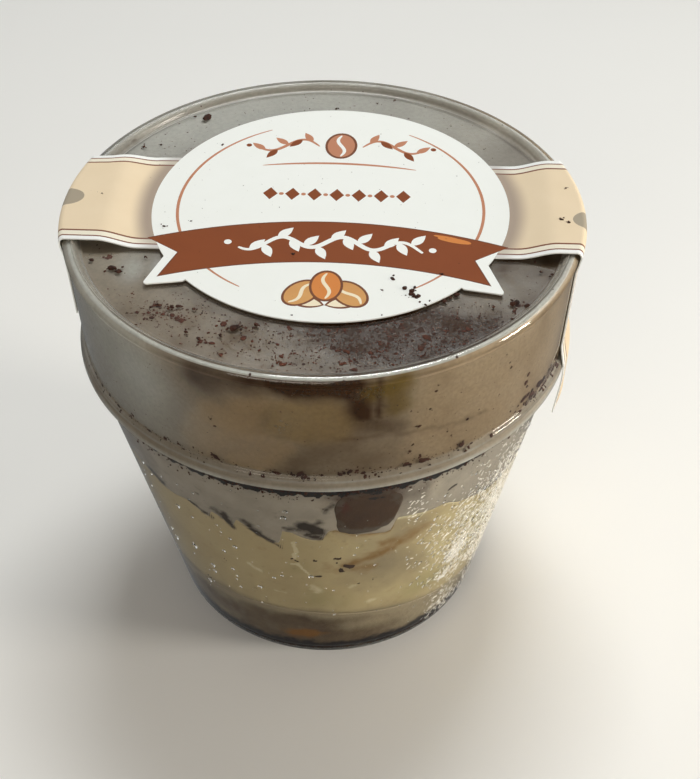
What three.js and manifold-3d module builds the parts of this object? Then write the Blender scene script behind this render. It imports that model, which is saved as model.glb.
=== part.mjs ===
// A layered coffee-and-cream cup cake, built together with its clear plastic cup,
// the clear lid pressed over the cup's rim, and the paper sticker that seals the lid.
// Millimetres, +Z up, origin on the floor at the centre of the cup's foot.
// The front, -Y, is the side where the soaked sponge shows at the cup's wall.

import * as THREE from 'three';
import { mergeVertices } from 'three/addons/utils/BufferGeometryUtils.js';
import { RoundedBoxGeometry } from 'three/addons/geometries/RoundedBoxGeometry.js';
import Module from 'manifold-3d';

// ---- driving dimensions ----

const GAP = 0.3;                  // air between solids that touch
const ROUND_STEPS = 64;           // facets round the cup, the lid and the food

// cup: a thin cone on a foot ring, with an upright collar that takes the lid
const FOOT_RADIUS = 34.9;
const FOOT_RING_WIDTH = 4.3;
const FOOT_RECESS = 1.0;
const FLOOR_FILLET = 1.4;
const WALL = 0.8;
const CONE_TOP_Z = 67.2;
const CONE_TOP_RADIUS = 48.15;
const COLLAR_RADIUS = 47.7;
const COLLAR_FOOT_Z = 68.3;
const RIM_Z = 79.0;

// lid: a flat panel inside a raised ring, an upright wall and a flared skirt
const LID_TOP_Z = 94.9;
const LID_RADIUS = 50;
const RING_WIDTH = 2.6;
const PANEL_RECESS = 1.6;
const LID_WALL_TOP_RADIUS = 49.6;
const LID_WALL_FOOT_RADIUS = 48.8;
const SKIRT_TOP_Z = 71.0;
const SKIRT_FOOT_Z = 67.9;
const SKIRT_RADIUS = 49.95;

// paper sticker: a round middle with a ribbon across it and two bands down the sides
const PAPER = 0.25;
const STICKER_TURN = THREE.MathUtils.degToRad(-2.7);
const STICKER_X = 0.76;
const STICKER_Y = 2.9;
const DISC_RADIUS = 35.4;
const BAND_HALF_WIDTH = 15.5;
const BAND_LIFT_START = 36.5;     // distance from the middle where the band leaves the panel
const BAND_LIFT_END = 44.5;       // and where it reaches the ring's top
const FOLD_RADIUS = 0.75;
const TAIL_END_Z = 56;            // torn lower end of the bands
const TAIL_TEAR = 2.2;            // depth of the tear
const RIBBON_TIP = new THREE.Vector2(32.8, -26.5);
const RIBBON_NOTCH = new THREE.Vector2(30.0, -17.0);
const RIBBON_JOIN = new THREE.Vector2(25.6, -24.9);

// food, from the floor of the cup to the dusted top
const BASE_SPONGE_TOP = 13.3;
const CREAM_TOP = 50.4;
const COFFEE_TOP = 65.6;
const DUSTED_TOP = 71.6;
const FOOD_RINGS = 5;
const LUMP_ROOT = 1.0;            // depth below the top's surface from which a lump is cut free

// soaked sponge piece pressed against the wall, just right of the front
const SPONGE_PIECE = { azimuth: 11, width: 14.5, depth: 15, height: 11.6, bottom: 50.7 };

// lumps of pale cream that stand on the dusted top, near the front of the lid's wall
const CREAM_LUMPS = [
  { name: 'cream_lump_left', x: -17.5, y: -33.5, length: 15, width: 12, height: 6.5, turn: 24, crease: 0 },
  { name: 'cream_lump_middle', x: -2.5, y: -36.5, length: 15, width: 12, height: 8.0, turn: 4, crease: 0 },
  { name: 'cream_lump_right', x: 14.5, y: -30.5, length: 17, width: 15, height: 10.5, turn: -18, crease: 0.55 },
];

// ---- small tools ----

const wasm = await Module();
wasm.setup();

// one indexed mesh whose shared corners are one vertex
function weld(geometry) {
  const bare = geometry.clone();
  bare.deleteAttribute('normal');
  bare.deleteAttribute('uv');
  return mergeVertices(bare, 1e-4);
}

function toManifold(geometry) {
  const welded = weld(geometry);
  return new wasm.Manifold(new wasm.Mesh({
    numProp: 3,
    vertProperties: new Float32Array(welded.attributes.position.array),
    triVerts: new Uint32Array(welded.index.array),
  }));
}

function fromManifold(manifold) {
  const mesh = manifold.getMesh();
  const geometry = new THREE.BufferGeometry();
  geometry.setAttribute('position', new THREE.BufferAttribute(new Float32Array(mesh.vertProperties), 3));
  geometry.setIndex(new THREE.BufferAttribute(new Uint32Array(mesh.triVerts), 1));
  return geometry;
}

// a profile of [radius, height] pairs turned about the upright axis
function turned(profile) {
  const points = profile.map(([radius, height]) => new THREE.Vector2(radius, height));
  return new THREE.LatheGeometry(points, ROUND_STEPS).rotateX(Math.PI / 2);
}

// a closed mesh from rows of points that each run once round the same way; the first and last rows
// are closed to a single point
function closedFromRings(bottomPoint, rings, topPoint) {
  const count = rings[0].length;
  const vertices = [bottomPoint, ...rings.flat(), topPoint];
  const top = vertices.length - 1;
  const at = (ring, k) => 1 + ring * count + (k % count);
  const index = [];
  for (let k = 0; k < count; k += 1) {
    index.push(0, at(0, k + 1), at(0, k));
    for (let ring = 0; ring < rings.length - 1; ring += 1) {
      index.push(at(ring, k), at(ring, k + 1), at(ring + 1, k + 1));
      index.push(at(ring, k), at(ring + 1, k + 1), at(ring + 1, k));
    }
    index.push(top, at(rings.length - 1, k), at(rings.length - 1, k + 1));
  }
  const geometry = new THREE.BufferGeometry();
  geometry.setAttribute('position', new THREE.Float32BufferAttribute(vertices.flat(), 3));
  geometry.setIndex(index);
  return geometry;
}

// ---- cup ----

const coneSlope = (CONE_TOP_RADIUS - FOOT_RADIUS) / CONE_TOP_Z;
const coneInside = (z) => FOOT_RADIUS + coneSlope * z - WALL;
const floorZ = FOOT_RECESS + WALL + 0.1;
const filletZ = floorZ + FLOOR_FILLET;
const shoulderZ = CONE_TOP_Z - 0.4;

// inside of the cup at a height: the floor's fillet, the cone, the short shoulder, then the collar
function innerRadius(z) {
  const collar = COLLAR_RADIUS - WALL;
  if (z < filletZ) return coneInside(filletZ) - (filletZ - z);
  if (z <= shoulderZ) return coneInside(z);
  const part = Math.min((z - shoulderZ) / (COLLAR_FOOT_Z - shoulderZ), 1);
  return THREE.MathUtils.lerp(coneInside(shoulderZ), collar, part);
}

function cupShell() {
  const footInner = FOOT_RADIUS - FOOT_RING_WIDTH;
  return turned([
    [0, FOOT_RECESS],
    [footInner - 0.6, FOOT_RECESS],
    [footInner, 0.5],
    [footInner, 0],
    [FOOT_RADIUS - 0.6, 0],
    [FOOT_RADIUS, 0.6],
    [CONE_TOP_RADIUS, CONE_TOP_Z],
    [CONE_TOP_RADIUS - 0.15, CONE_TOP_Z + 0.6],
    [COLLAR_RADIUS, COLLAR_FOOT_Z],
    [COLLAR_RADIUS, RIM_Z - 0.5],
    [COLLAR_RADIUS - WALL / 2, RIM_Z],
    [COLLAR_RADIUS - WALL, RIM_Z - 0.5],
    [innerRadius(COLLAR_FOOT_Z), COLLAR_FOOT_Z],
    [innerRadius(shoulderZ), shoulderZ],
    [innerRadius(filletZ), filletZ],
    [innerRadius(floorZ), floorZ],
    [0, floorZ],
  ]);
}

// ---- lid ----

const panelZ = LID_TOP_Z - PANEL_RECESS;
const ringInner = LID_RADIUS - RING_WIDTH;

function lidShell() {
  return turned([
    [0, panelZ - WALL],
    [ringInner - 0.6, panelZ - WALL],
    [ringInner + 0.6, panelZ - WALL + 0.3],
    [ringInner + 1.0, LID_TOP_Z - WALL],
    [LID_RADIUS - WALL - 0.3, LID_TOP_Z - WALL],
    [LID_RADIUS - WALL, LID_TOP_Z - 1.4],
    [LID_WALL_TOP_RADIUS - WALL, LID_TOP_Z - 2.4],
    [LID_WALL_FOOT_RADIUS - WALL + 0.05, SKIRT_TOP_Z - 0.9],
    [SKIRT_RADIUS - WALL, SKIRT_FOOT_Z + 1.4],
    [SKIRT_RADIUS - WALL + 0.1, SKIRT_FOOT_Z],
    [SKIRT_RADIUS - 0.25, SKIRT_FOOT_Z],
    [SKIRT_RADIUS, SKIRT_FOOT_Z + 0.3],
    [SKIRT_RADIUS - 0.05, SKIRT_TOP_Z - 1.9],
    [LID_WALL_FOOT_RADIUS + 0.5, SKIRT_TOP_Z - 0.2],
    [LID_WALL_FOOT_RADIUS, SKIRT_TOP_Z],
    [LID_WALL_TOP_RADIUS, LID_TOP_Z - 2.3],
    [LID_RADIUS, LID_TOP_Z - 1.6],
    [LID_RADIUS, LID_TOP_Z - 0.7],
    [LID_RADIUS - 0.7, LID_TOP_Z],
    [ringInner + 0.6, LID_TOP_Z],
    [ringInner, LID_TOP_Z - 0.6],
    [ringInner - 0.2, panelZ + 0.25],
    [ringInner - 1.0, panelZ],
    [0, panelZ],
  ]);
}

// ---- paper sticker ----

const paperFoot = panelZ + GAP;
const bandCrestZ = LID_TOP_Z + GAP;
const foldStart = LID_RADIUS + GAP - FOLD_RADIUS;

// from the sticker's own flat coordinates to the lid's plane
function placeOnLid(x, y) {
  const turn = new THREE.Vector2(x, y).rotateAround(new THREE.Vector2(), STICKER_TURN);
  return [turn.x + STICKER_X, turn.y + STICKER_Y];
}

// a smooth 0-to-1 step
const ease = (value) => THREE.MathUtils.smoothstep(value, 0, 1);

// underside of a band at a flat point: along the panel, up to the ring, round its edge and down.
// Returns the point and the direction in which the paper's thickness is added.
function onBand(flatX, flatY) {
  const [x, y] = placeOnLid(flatX, flatY);
  const side = Math.sign(flatX);
  const edgeX = Math.sqrt(foldStart ** 2 - y ** 2);
  const past = side * x - edgeX;
  if (past <= 0) {
    const lift = ease((Math.abs(flatX) - BAND_LIFT_START) / (BAND_LIFT_END - BAND_LIFT_START));
    const point = [x, y, THREE.MathUtils.lerp(paperFoot, bandCrestZ, lift)];
    return { point, out: [0, 0, 1] };
  }
  const bend = Math.min(past / FOLD_RADIUS, Math.PI / 2);
  const hang = Math.max(past - FOLD_RADIUS * Math.PI / 2, 0);
  const radius = foldStart + FOLD_RADIUS * Math.sin(bend);
  const towards = [side * edgeX / foldStart, y / foldStart];
  const z = bandCrestZ - FOLD_RADIUS * (1 - Math.cos(bend)) - hang;
  return {
    point: [towards[0] * radius, towards[1] * radius, z],
    out: [towards[0] * Math.sin(bend), towards[1] * Math.sin(bend), Math.cos(bend)],
  };
}

// one band, from inside the disc to its torn end; side is -1 for left and 1 for right
function stickerBand(side) {
  const tailLength = bandCrestZ - TAIL_END_Z;
  const flatStops = [27, BAND_LIFT_START, 38.5, 40.5, 42.5, BAND_LIFT_END, 46.2];
  const foldStops = [0, 0.25, 0.5, 0.75, 1].map((part) => part * FOLD_RADIUS * Math.PI / 2);
  const tailStops = [0.1, 0.2, 0.35, 0.5, 0.65, 0.8, 0.9, 1].map((part) => part * tailLength);
  const across = 10;
  const under = [];
  const over = [];
  for (let row = 0; row <= across; row += 1) {
    const flatY = THREE.MathUtils.lerp(-BAND_HALF_WIDTH, BAND_HALF_WIDTH, row / across);
    // flat distance at which this line of the band meets the fold
    let fold = 48;
    for (let pass = 0; pass < 6; pass += 1) {
      const [x, y] = placeOnLid(side * fold, flatY);
      fold += Math.sqrt(foldStart ** 2 - y ** 2) - side * x;
    }
    const tear = TAIL_TEAR * (0.5 + 0.5 * Math.sin(flatY * 0.9 + side)) * Math.cos(flatY * 0.31);
    const stops = [
      ...flatStops,
      ...foldStops.map((step) => fold + step),
      ...tailStops.map((step, k) => fold + step - (k === tailStops.length - 1 ? tear : 0)),
    ];
    for (const stop of stops) {
      const { point, out } = onBand(side * stop, flatY);
      under.push(point);
      over.push(point.map((value, axis) => value + PAPER * out[axis]));
    }
  }
  const columns = flatStops.length + foldStops.length + tailStops.length;
  return sheetSolid(under, over, columns, across + 1, side);
}

// closes two matching grids of points, an underside and an upper side, into one thin body
function sheetSolid(under, over, columns, rows, side) {
  const vertices = [...under, ...over];
  const low = (row, column) => row * columns + column;
  const high = (row, column) => under.length + low(row, column);
  const index = [];
  const quad = (a, b, c, d) => (side > 0 ? index.push(a, b, c, a, c, d) : index.push(a, c, b, a, d, c));
  for (let row = 0; row < rows - 1; row += 1) {
    for (let column = 0; column < columns - 1; column += 1) {
      quad(high(row, column), high(row, column + 1), high(row + 1, column + 1), high(row + 1, column));
      quad(low(row, column), low(row + 1, column), low(row + 1, column + 1), low(row, column + 1));
    }
  }
  for (let column = 0; column < columns - 1; column += 1) {
    quad(low(0, column), low(0, column + 1), high(0, column + 1), high(0, column));
    quad(high(rows - 1, column), high(rows - 1, column + 1), low(rows - 1, column + 1), low(rows - 1, column));
  }
  for (let row = 0; row < rows - 1; row += 1) {
    quad(low(row, 0), high(row, 0), high(row + 1, 0), low(row + 1, 0));
    const last = columns - 1;
    quad(high(row, last), low(row, last), low(row + 1, last), high(row + 1, last));
  }
  const geometry = new THREE.BufferGeometry();
  geometry.setAttribute('position', new THREE.Float32BufferAttribute(vertices.flat(), 3));
  geometry.setIndex(index);
  return geometry;
}

function stickerDisc() {
  const shape = new THREE.Shape().absarc(0, 0, DISC_RADIUS, 0, 2 * Math.PI, false);
  return new THREE.ExtrudeGeometry(shape, { depth: PAPER, bevelEnabled: false, curveSegments: 36 });
}

// the lower point of the ribbon's forked end, which stands out past the disc
function ribbonPoint(side) {
  const corner = (point) => new THREE.Vector2(side * point.x, point.y);
  const inner = new THREE.Vector2(20, -18);
  const shape = new THREE.Shape([RIBBON_NOTCH, RIBBON_TIP, RIBBON_JOIN, inner].map(corner));
  return new THREE.ExtrudeGeometry(shape, { depth: PAPER, bevelEnabled: false });
}

function stickerSheet() {
  const flat = [stickerDisc(), ribbonPoint(-1), ribbonPoint(1)].map((geometry) => {
    geometry.rotateZ(STICKER_TURN);
    geometry.translate(STICKER_X, STICKER_Y, paperFoot);
    return toManifold(geometry);
  });
  const bands = [stickerBand(-1), stickerBand(1)].map(toManifold);
  return fromManifold([...flat, ...bands].reduce((sum, piece) => sum.add(piece)));
}

// ---- food ----

// angle round the cup in radians, 0 at the front and growing towards +X
const azimuthOf = (x, y) => Math.atan2(x, -y);
const SIDE_LEAN = THREE.MathUtils.degToRad(20);

// upper surface of each layer, uneven as the spooned layers are
const layerTops = {
  base: (x, y) => {
    const turn = azimuthOf(x, y) + SIDE_LEAN;
    const edge = Math.hypot(x, y) / FOOT_RADIUS;
    return BASE_SPONGE_TOP + edge * (3.5 * Math.cos(turn) + 1.8 * Math.cos(2 * turn));
  },
  cream: (x, y) => {
    const edge = Math.hypot(x, y) / CONE_TOP_RADIUS;
    const fold = Math.sin(9 * azimuthOf(x, y) + 0.6) + 0.5 * Math.sin(5 * azimuthOf(x, y) + 2.0);
    return CREAM_TOP + 1.4 * edge * fold - 2.0 * (1 - edge);
  },
  coffee: (x, y) => {
    const edge = Math.hypot(x, y) / CONE_TOP_RADIUS;
    return COFFEE_TOP + 0.8 * edge * Math.sin(4 * azimuthOf(x, y) + 1.1) - 1.0 * (1 - edge);
  },
  dusted: (x, y) => {
    const swell = 1.3 * Math.cos(Math.hypot(x - 4, y - 6) * 0.055);
    const bumps = 0.55 * Math.sin(x * 0.31 + 0.8) * Math.cos(y * 0.27) + 0.35 * Math.sin(x * 0.17 - y * 0.43);
    return DUSTED_TOP + swell + bumps;
  },
};

const foodRadius = (z) => innerRadius(z) - GAP;

// points round the cup on a surface, at a share of the food's radius there
function ringOn(surface, share) {
  const ring = [];
  for (let k = 0; k < ROUND_STEPS; k += 1) {
    const angle = 2 * Math.PI * k / ROUND_STEPS;
    let radius = CONE_TOP_RADIUS * share;
    for (let pass = 0; pass < 5; pass += 1) {
      radius = share * foodRadius(surface(radius * Math.cos(angle), radius * Math.sin(angle)));
    }
    const x = radius * Math.cos(angle);
    const y = radius * Math.sin(angle);
    ring.push([x, y, surface(x, y)]);
  }
  return ring;
}

// one layer of the food, right through the cup; wallStops are heights where the cup's wall bends
function foodLayer(bottom, top, wallStops = []) {
  const shares = Array.from({ length: FOOD_RINGS }, (_, k) => (k + 1) / FOOD_RINGS);
  const below = shares.map((share) => ringOn(bottom, share));
  const above = shares.toReversed().map((share) => ringOn(top, share));
  const bends = wallStops.map((z) => ringOn(() => z, 1));
  return closedFromRings([0, 0, bottom(0, 0)], [...below, ...bends, ...above], [0, 0, top(0, 0)]);
}

const restingOn = (surface) => (x, y) => surface(x, y) + GAP;

// a block of soaked sponge with soft edges, grown on all sides by a clearance
function spongeBlock(clearance) {
  const { azimuth, width, depth, height, bottom } = SPONGE_PIECE;
  const geometry = new RoundedBoxGeometry(
    width + 2 * clearance, depth + 2 * clearance, height + 2 * clearance, 2, 3 + clearance);
  const wall = foodRadius(bottom + height / 2);
  geometry.translate(0, -wall + depth / 2 - 1.5, bottom + height / 2);
  geometry.rotateZ(THREE.MathUtils.degToRad(azimuth));
  return toManifold(geometry);
}

// everything inside the cup's wall, less the gap that touching solids keep
function insideCup() {
  const low = () => floorZ + GAP;
  const high = () => RIM_Z;
  return toManifold(foodLayer(low, high, [shoulderZ, COLLAR_FOOT_Z]));
}

const spongeHole = spongeBlock(GAP);
const withoutSponge = (geometry) => fromManifold(toManifold(geometry).subtract(spongeHole));

const dustedTop = foodLayer(restingOn(layerTops.coffee), layerTops.dusted, [shoulderZ, COLLAR_FOOT_Z]);
const dustedTopRaised = toManifold(dustedTop.clone().translate(0, 0, GAP));

// a spoonful of cream: a low dome on the dusted top, with a crease along it where one is given
function creamLump({ x, y, length, width, height, turn, crease }) {
  const around = 20;
  const angle = THREE.MathUtils.degToRad(turn);
  const shares = [0.45, 0.8, 1];
  const pointAt = (share, k, lift) => {
    const phase = 2 * Math.PI * k / around;
    const wobble = 1 + 0.07 * Math.sin(3 * phase + x) + 0.05 * Math.cos(5 * phase);
    const along = 0.5 * length * share * wobble * Math.cos(phase);
    const side = 0.5 * width * share * wobble * Math.sin(phase);
    const px = x + along * Math.cos(angle) - side * Math.sin(angle);
    const py = y + along * Math.sin(angle) + side * Math.cos(angle);
    const groove = 1 - crease * Math.exp(-((along / 1.6) ** 2));
    return [px, py, layerTops.dusted(px, py) + lift * groove];
  };
  const ring = (share, lift) => Array.from({ length: around }, (_, k) => pointAt(share, k, lift));
  const below = shares.map((share) => ring(share, -LUMP_ROOT));
  const above = [ring(1, 0.22 * height), ring(0.9, 0.6 * height), ring(0.65, 0.87 * height), ring(0.3, height)];
  const whole = closedFromRings(pointAt(0, 0, -LUMP_ROOT), [...below, ...above], pointAt(0, 0, height));
  return fromManifold(toManifold(whole).subtract(dustedTopRaised));
}

// ---- the object ----

const finishes = {
  clearPlastic: { color: 0xe6ebea, roughness: 0.12, metalness: 0 },
  paper: { color: 0xe9ebe6, roughness: 0.55, metalness: 0 },
  baseSponge: { color: 0x8a744c, roughness: 0.9, metalness: 0 },
  cream: { color: 0xb0a27c, roughness: 0.6, metalness: 0 },
  coffeeSponge: { color: 0x6f6557, roughness: 0.85, metalness: 0 },
  soakedSponge: { color: 0x5c4532, roughness: 0.8, metalness: 0 },
  cocoa: { color: 0x41302a, roughness: 0.95, metalness: 0 },
  paleCream: { color: 0xb79d63, roughness: 0.6, metalness: 0 },
};

const cupCake = new THREE.Group();

function addPiece(name, geometry, finish) {
  const mesh = new THREE.Mesh(geometry, new THREE.MeshStandardMaterial(finish));
  mesh.name = name;
  cupCake.add(mesh);
}

const floorSurface = () => floorZ + GAP;
const soakedSponge = fromManifold(spongeBlock(0).intersect(insideCup()));

addPiece('cup', cupShell(), finishes.clearPlastic);
addPiece('lid', lidShell(), finishes.clearPlastic);
addPiece('sticker', stickerSheet(), finishes.paper);
addPiece('base_sponge', foodLayer(floorSurface, layerTops.base, [filletZ]), finishes.baseSponge);
addPiece('cream_layer', withoutSponge(foodLayer(restingOn(layerTops.base), layerTops.cream)), finishes.cream);
addPiece('coffee_layer', withoutSponge(foodLayer(restingOn(layerTops.cream), layerTops.coffee)), finishes.coffeeSponge);
addPiece('soaked_sponge', soakedSponge, finishes.soakedSponge);
addPiece('dusted_top', dustedTop, finishes.cocoa);
for (const lump of CREAM_LUMPS) {
  addPiece(lump.name, creamLump(lump), finishes.paleCream);
}

export default cupCake;
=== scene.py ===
import math

import bpy
import numpy as np
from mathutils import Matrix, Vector, noise
from mathutils.geometry import delaunay_2d_cdt


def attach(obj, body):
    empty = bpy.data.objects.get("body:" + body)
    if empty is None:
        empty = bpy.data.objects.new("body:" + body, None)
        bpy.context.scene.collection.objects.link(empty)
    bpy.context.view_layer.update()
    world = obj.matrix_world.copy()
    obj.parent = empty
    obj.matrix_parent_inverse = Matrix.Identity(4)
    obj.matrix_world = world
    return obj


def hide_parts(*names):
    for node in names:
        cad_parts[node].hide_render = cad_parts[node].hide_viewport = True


# A layered coffee-and-cream cup cake in its clear cup, under a clear lid that a paper sticker seals.
# Lengths in this file are in millimetres; a mesh is turned to metres as it is made.

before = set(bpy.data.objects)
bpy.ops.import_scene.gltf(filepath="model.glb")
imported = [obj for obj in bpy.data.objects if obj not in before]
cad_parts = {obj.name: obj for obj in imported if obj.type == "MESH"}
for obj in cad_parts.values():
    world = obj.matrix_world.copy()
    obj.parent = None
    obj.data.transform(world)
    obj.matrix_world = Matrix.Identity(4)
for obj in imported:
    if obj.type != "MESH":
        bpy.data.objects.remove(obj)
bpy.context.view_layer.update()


# ==== table, daylight and camera ====
# A plain pale table top in the soft light of a room: most of it comes from high up behind the cup,
# some from a window on the right, so the lid is bright and the cup's front lies in its own shade.

MM = 0.001
COLOUR_A, COLOUR_B, MIXED = 6, 7, 2      # a colour mix node's two colours and its result


def linear(hex_colour):
    """An sRGB hex colour as the linear RGBA that a shader takes."""
    parts = [int(hex_colour[k:k + 2], 16) / 255 for k in (1, 3, 5)]
    return [c / 12.92 if c <= 0.04045 else ((c + 0.055) / 1.055) ** 2.4 for c in parts] + [1.0]


def node(tree, kind, inputs=None, **settings):
    """Adds a node, sets its properties, and gives its inputs their values or links."""
    made = tree.nodes.new(kind)
    for name, value in settings.items():
        setattr(made, name, value)
    for name, value in (inputs or {}).items():
        if isinstance(value, bpy.types.NodeSocket):
            tree.links.new(value, made.inputs[name])
        else:
            made.inputs[name].default_value = value
    return made


def new_material(name):
    """An empty node material and its tree."""
    made = bpy.data.materials.new(name)
    made.use_nodes = True
    made.node_tree.nodes.clear()
    return made, made.node_tree


def mesh_object(name, points, faces, smooth=True):
    """An object at the origin whose mesh has these points, given in millimetres."""
    mesh = bpy.data.meshes.new(name)
    mesh.from_pydata((np.asarray(points, float) * MM).tolist(), [], faces)
    if smooth:
        mesh.shade_smooth()
    made = bpy.data.objects.new(name, mesh)
    bpy.context.scene.collection.objects.link(made)
    return made


TABLE_HALF = 2000
painted_board, tree = new_material("matt painted board")
place = node(tree, "ShaderNodeTexCoord").outputs["Object"]
mottle = node(tree, "ShaderNodeTexNoise", {"Vector": place, "Scale": 9.0, "Detail": 4.0})
tone = node(tree, "ShaderNodeMix", {"Factor": mottle.outputs["Fac"], COLOUR_A: linear("#f2f1ee"),
                                    COLOUR_B: linear("#f7f6f3")}, data_type="RGBA")
shader = node(tree, "ShaderNodeBsdfPrincipled", {"Base Color": tone.outputs[MIXED], "Roughness": 0.7})
node(tree, "ShaderNodeOutputMaterial", {"Surface": shader.outputs[0]})

corners = [(-1, -1), (1, -1), (1, 1), (-1, 1)]
table = mesh_object("table", [(x * TABLE_HALF, y * TABLE_HALF, 0) for x, y in corners], [(0, 1, 2, 3)])
table.data.materials.append(painted_board)
table.visible_glossy = False      # the cup's gloss mirrors a dim room, not this bright board

# The room: dim towards the viewer and the floor, brighter behind, which the lid's flat panel mirrors.
world = bpy.data.worlds.new("room light")
bpy.context.scene.world = world
world.use_nodes = True
tree = world.node_tree
tree.nodes.clear()
way = node(tree, "ShaderNodeSeparateXYZ", {0: node(tree, "ShaderNodeTexCoord").outputs["Generated"]})
strength = 1.0
for axis, low, high, at_low, at_high in (
        ("Y", -0.6, 0.9, 0.16, 0.62),         # brighter behind the cup
        ("Z", 0.50, 0.66, 1.15, 0.22),        # darker straight above
        ("Z", -0.3, 0.1, 0.3, 1.0)):          # and towards the floor
    part = node(tree, "ShaderNodeMapRange", {"Value": way.outputs[axis], "From Min": low, "From Max": high,
                                             "To Min": at_low, "To Max": at_high}).outputs[0]
    strength = node(tree, "ShaderNodeMath", {0: strength, 1: part}, operation="MULTIPLY").outputs[0]
room = node(tree, "ShaderNodeBackground", {"Color": linear("#f4f6f5"), "Strength": strength})
node(tree, "ShaderNodeOutputWorld", {"Surface": room.outputs[0]})


def soft_box(name, place, aim, width, height, watts, tint):
    """A rectangular soft light at a place, facing another, in millimetres."""
    lamp = bpy.data.lights.new(name, "AREA")
    lamp.shape = "RECTANGLE"
    lamp.size = width * MM
    lamp.size_y = height * MM
    lamp.energy = watts
    lamp.color = linear(tint)[:3]
    holder = bpy.data.objects.new(name, lamp)
    holder.location = Vector(place) * MM
    holder.rotation_euler = (Vector(aim) - Vector(place)).to_track_quat("-Z", "Y").to_euler()
    bpy.context.scene.collection.objects.link(holder)


LID_MIDDLE = (0, 0, 90)
soft_box("ceiling_light", (60, 260, 760), LID_MIDDLE, 320, 240, 3.5, "#fafcfb")
soft_box("right_window", (560, -120, 150), (0, 0, 50), 140, 260, 2.6, "#fff8ec")
soft_box("room_light_in_front", (-180, -600, 400), (0, 0, 50), 460, 300, 1.15, "#fff3e4")

# The viewer stands in front and looks down at the lid.
CAMERA_PLACE = (5.2, -208.66, 238.65)
CAMERA_ELEVATION = 42.53          # degrees below the horizon
FOCAL_PIXELS = 1300               # for an image 779 pixels high
IMAGE_HEIGHT = 779
SENSOR = 36

view = bpy.data.cameras.new("camera")
view.sensor_width = SENSOR
view.lens = FOCAL_PIXELS * SENSOR / IMAGE_HEIGHT
view.clip_start = 0.01
camera = bpy.data.objects.new("camera", view)
camera.location = Vector(CAMERA_PLACE) * MM
camera.rotation_euler = (math.radians(90 - CAMERA_ELEVATION), 0, 0)
bpy.context.scene.collection.objects.link(camera)
bpy.context.scene.camera = camera

scene = bpy.context.scene
scene.view_settings.view_transform = "Standard"
scene.cycles.max_bounces = 24
scene.cycles.transmission_bounces = 20
scene.cycles.transparent_max_bounces = 40
scene.cycles.sample_clamp_indirect = 4.0


# ==== cup ====
# A thin cone on a foot ring, with an upright collar that the lid presses over. Clear polystyrene,
# injection moulded in one piece, so every edge has a small radius.

FOOT_RADIUS = 34.9
FOOT_RING_WIDTH = 4.3
FOOT_RECESS = 1.0
FLOOR_FILLET = 1.4
WALL = 0.8
CONE_TOP_Z = 67.2
CONE_TOP_RADIUS = 48.15
COLLAR_RADIUS = 47.7
COLLAR_FOOT_Z = 68.3
RIM_Z = 79.0
SHOULDER_Z = CONE_TOP_Z - 0.4
FLOOR_Z = FOOT_RECESS + WALL + 0.1
CONE_SLOPE = (CONE_TOP_RADIUS - FOOT_RADIUS) / CONE_TOP_Z


def inner_radius(z):
    """The inside of the cup at a height: floor fillet, cone, shoulder, collar."""
    fillet_z = FLOOR_Z + FLOOR_FILLET
    cone = FOOT_RADIUS + CONE_SLOPE * np.clip(z, fillet_z, SHOULDER_Z) - WALL
    fillet = np.clip(fillet_z - z, 0, FLOOR_FILLET)
    shoulder = np.clip((z - SHOULDER_Z) / (COLLAR_FOOT_Z - SHOULDER_Z), 0, 1)
    return (cone - fillet) * (1 - shoulder) + (COLLAR_RADIUS - WALL) * shoulder


def rounded_section(corners, radius, stretch):
    """A section's corners, each rounded, with points no further apart than stretch."""
    path = [np.array(corners[0], float)]
    for before, corner, after in zip(corners, corners[1:], corners[2:]):
        corner = np.array(corner, float)
        back = np.array(before) - corner
        ahead = np.array(after) - corner
        reach = min(radius, 0.45 * np.linalg.norm(back), 0.45 * np.linalg.norm(ahead))
        start = corner + back / np.linalg.norm(back) * reach
        end = corner + ahead / np.linalg.norm(ahead) * reach
        for t in np.linspace(0, 1, 6):
            path.append((1 - t) ** 2 * start + 2 * t * (1 - t) * corner + t * t * end)
    path.append(np.array(corners[-1], float))
    dense = [path[0]]
    for here, there in zip(path, path[1:]):
        count = max(1, math.ceil(np.linalg.norm(there - here) / stretch))
        dense += [here + (there - here) * k / count for k in range(1, count + 1)]
    return np.array([(r, 0, z) for r, z in dense])


# Geometry Nodes: turns a section, given as points in the XZ plane, about the upright axis.
turned = bpy.data.node_groups.new("Turned shell", "GeometryNodeTree")
turned.interface.new_socket("Section", in_out="INPUT", socket_type="NodeSocketGeometry")
turned.interface.new_socket("Steps Round", in_out="INPUT", socket_type="NodeSocketInt")
turned.interface.new_socket("Seam Distance", in_out="INPUT", socket_type="NodeSocketFloat")
turned.interface.new_socket("Material", in_out="INPUT", socket_type="NodeSocketMaterial")
turned.interface.new_socket("Shell", in_out="OUTPUT", socket_type="NodeSocketGeometry")
given = node(turned, "NodeGroupInput").outputs
count = node(turned, "GeometryNodeAttributeDomainSize", {0: given["Section"]}).outputs["Point Count"]
columns = node(turned, "ShaderNodeMath", {0: given["Steps Round"], 1: 1.0}).outputs[0]
grid = node(turned, "GeometryNodeMeshGrid", {"Vertices X": columns, "Vertices Y": count})
index = node(turned, "GeometryNodeInputIndex").outputs[0]
row = node(turned, "ShaderNodeMath", {0: index, 1: count}, operation="MODULO").outputs[0]
whole = node(turned, "ShaderNodeMath", {0: index, 1: count}, operation="DIVIDE").outputs[0]
column = node(turned, "ShaderNodeMath", {0: whole}, operation="FLOOR").outputs[0]
share = node(turned, "ShaderNodeMath", {0: column, 1: given["Steps Round"]}, operation="DIVIDE").outputs[0]
angle = node(turned, "ShaderNodeMath", {0: share, 1: 2 * math.pi}, operation="MULTIPLY").outputs[0]
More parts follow.
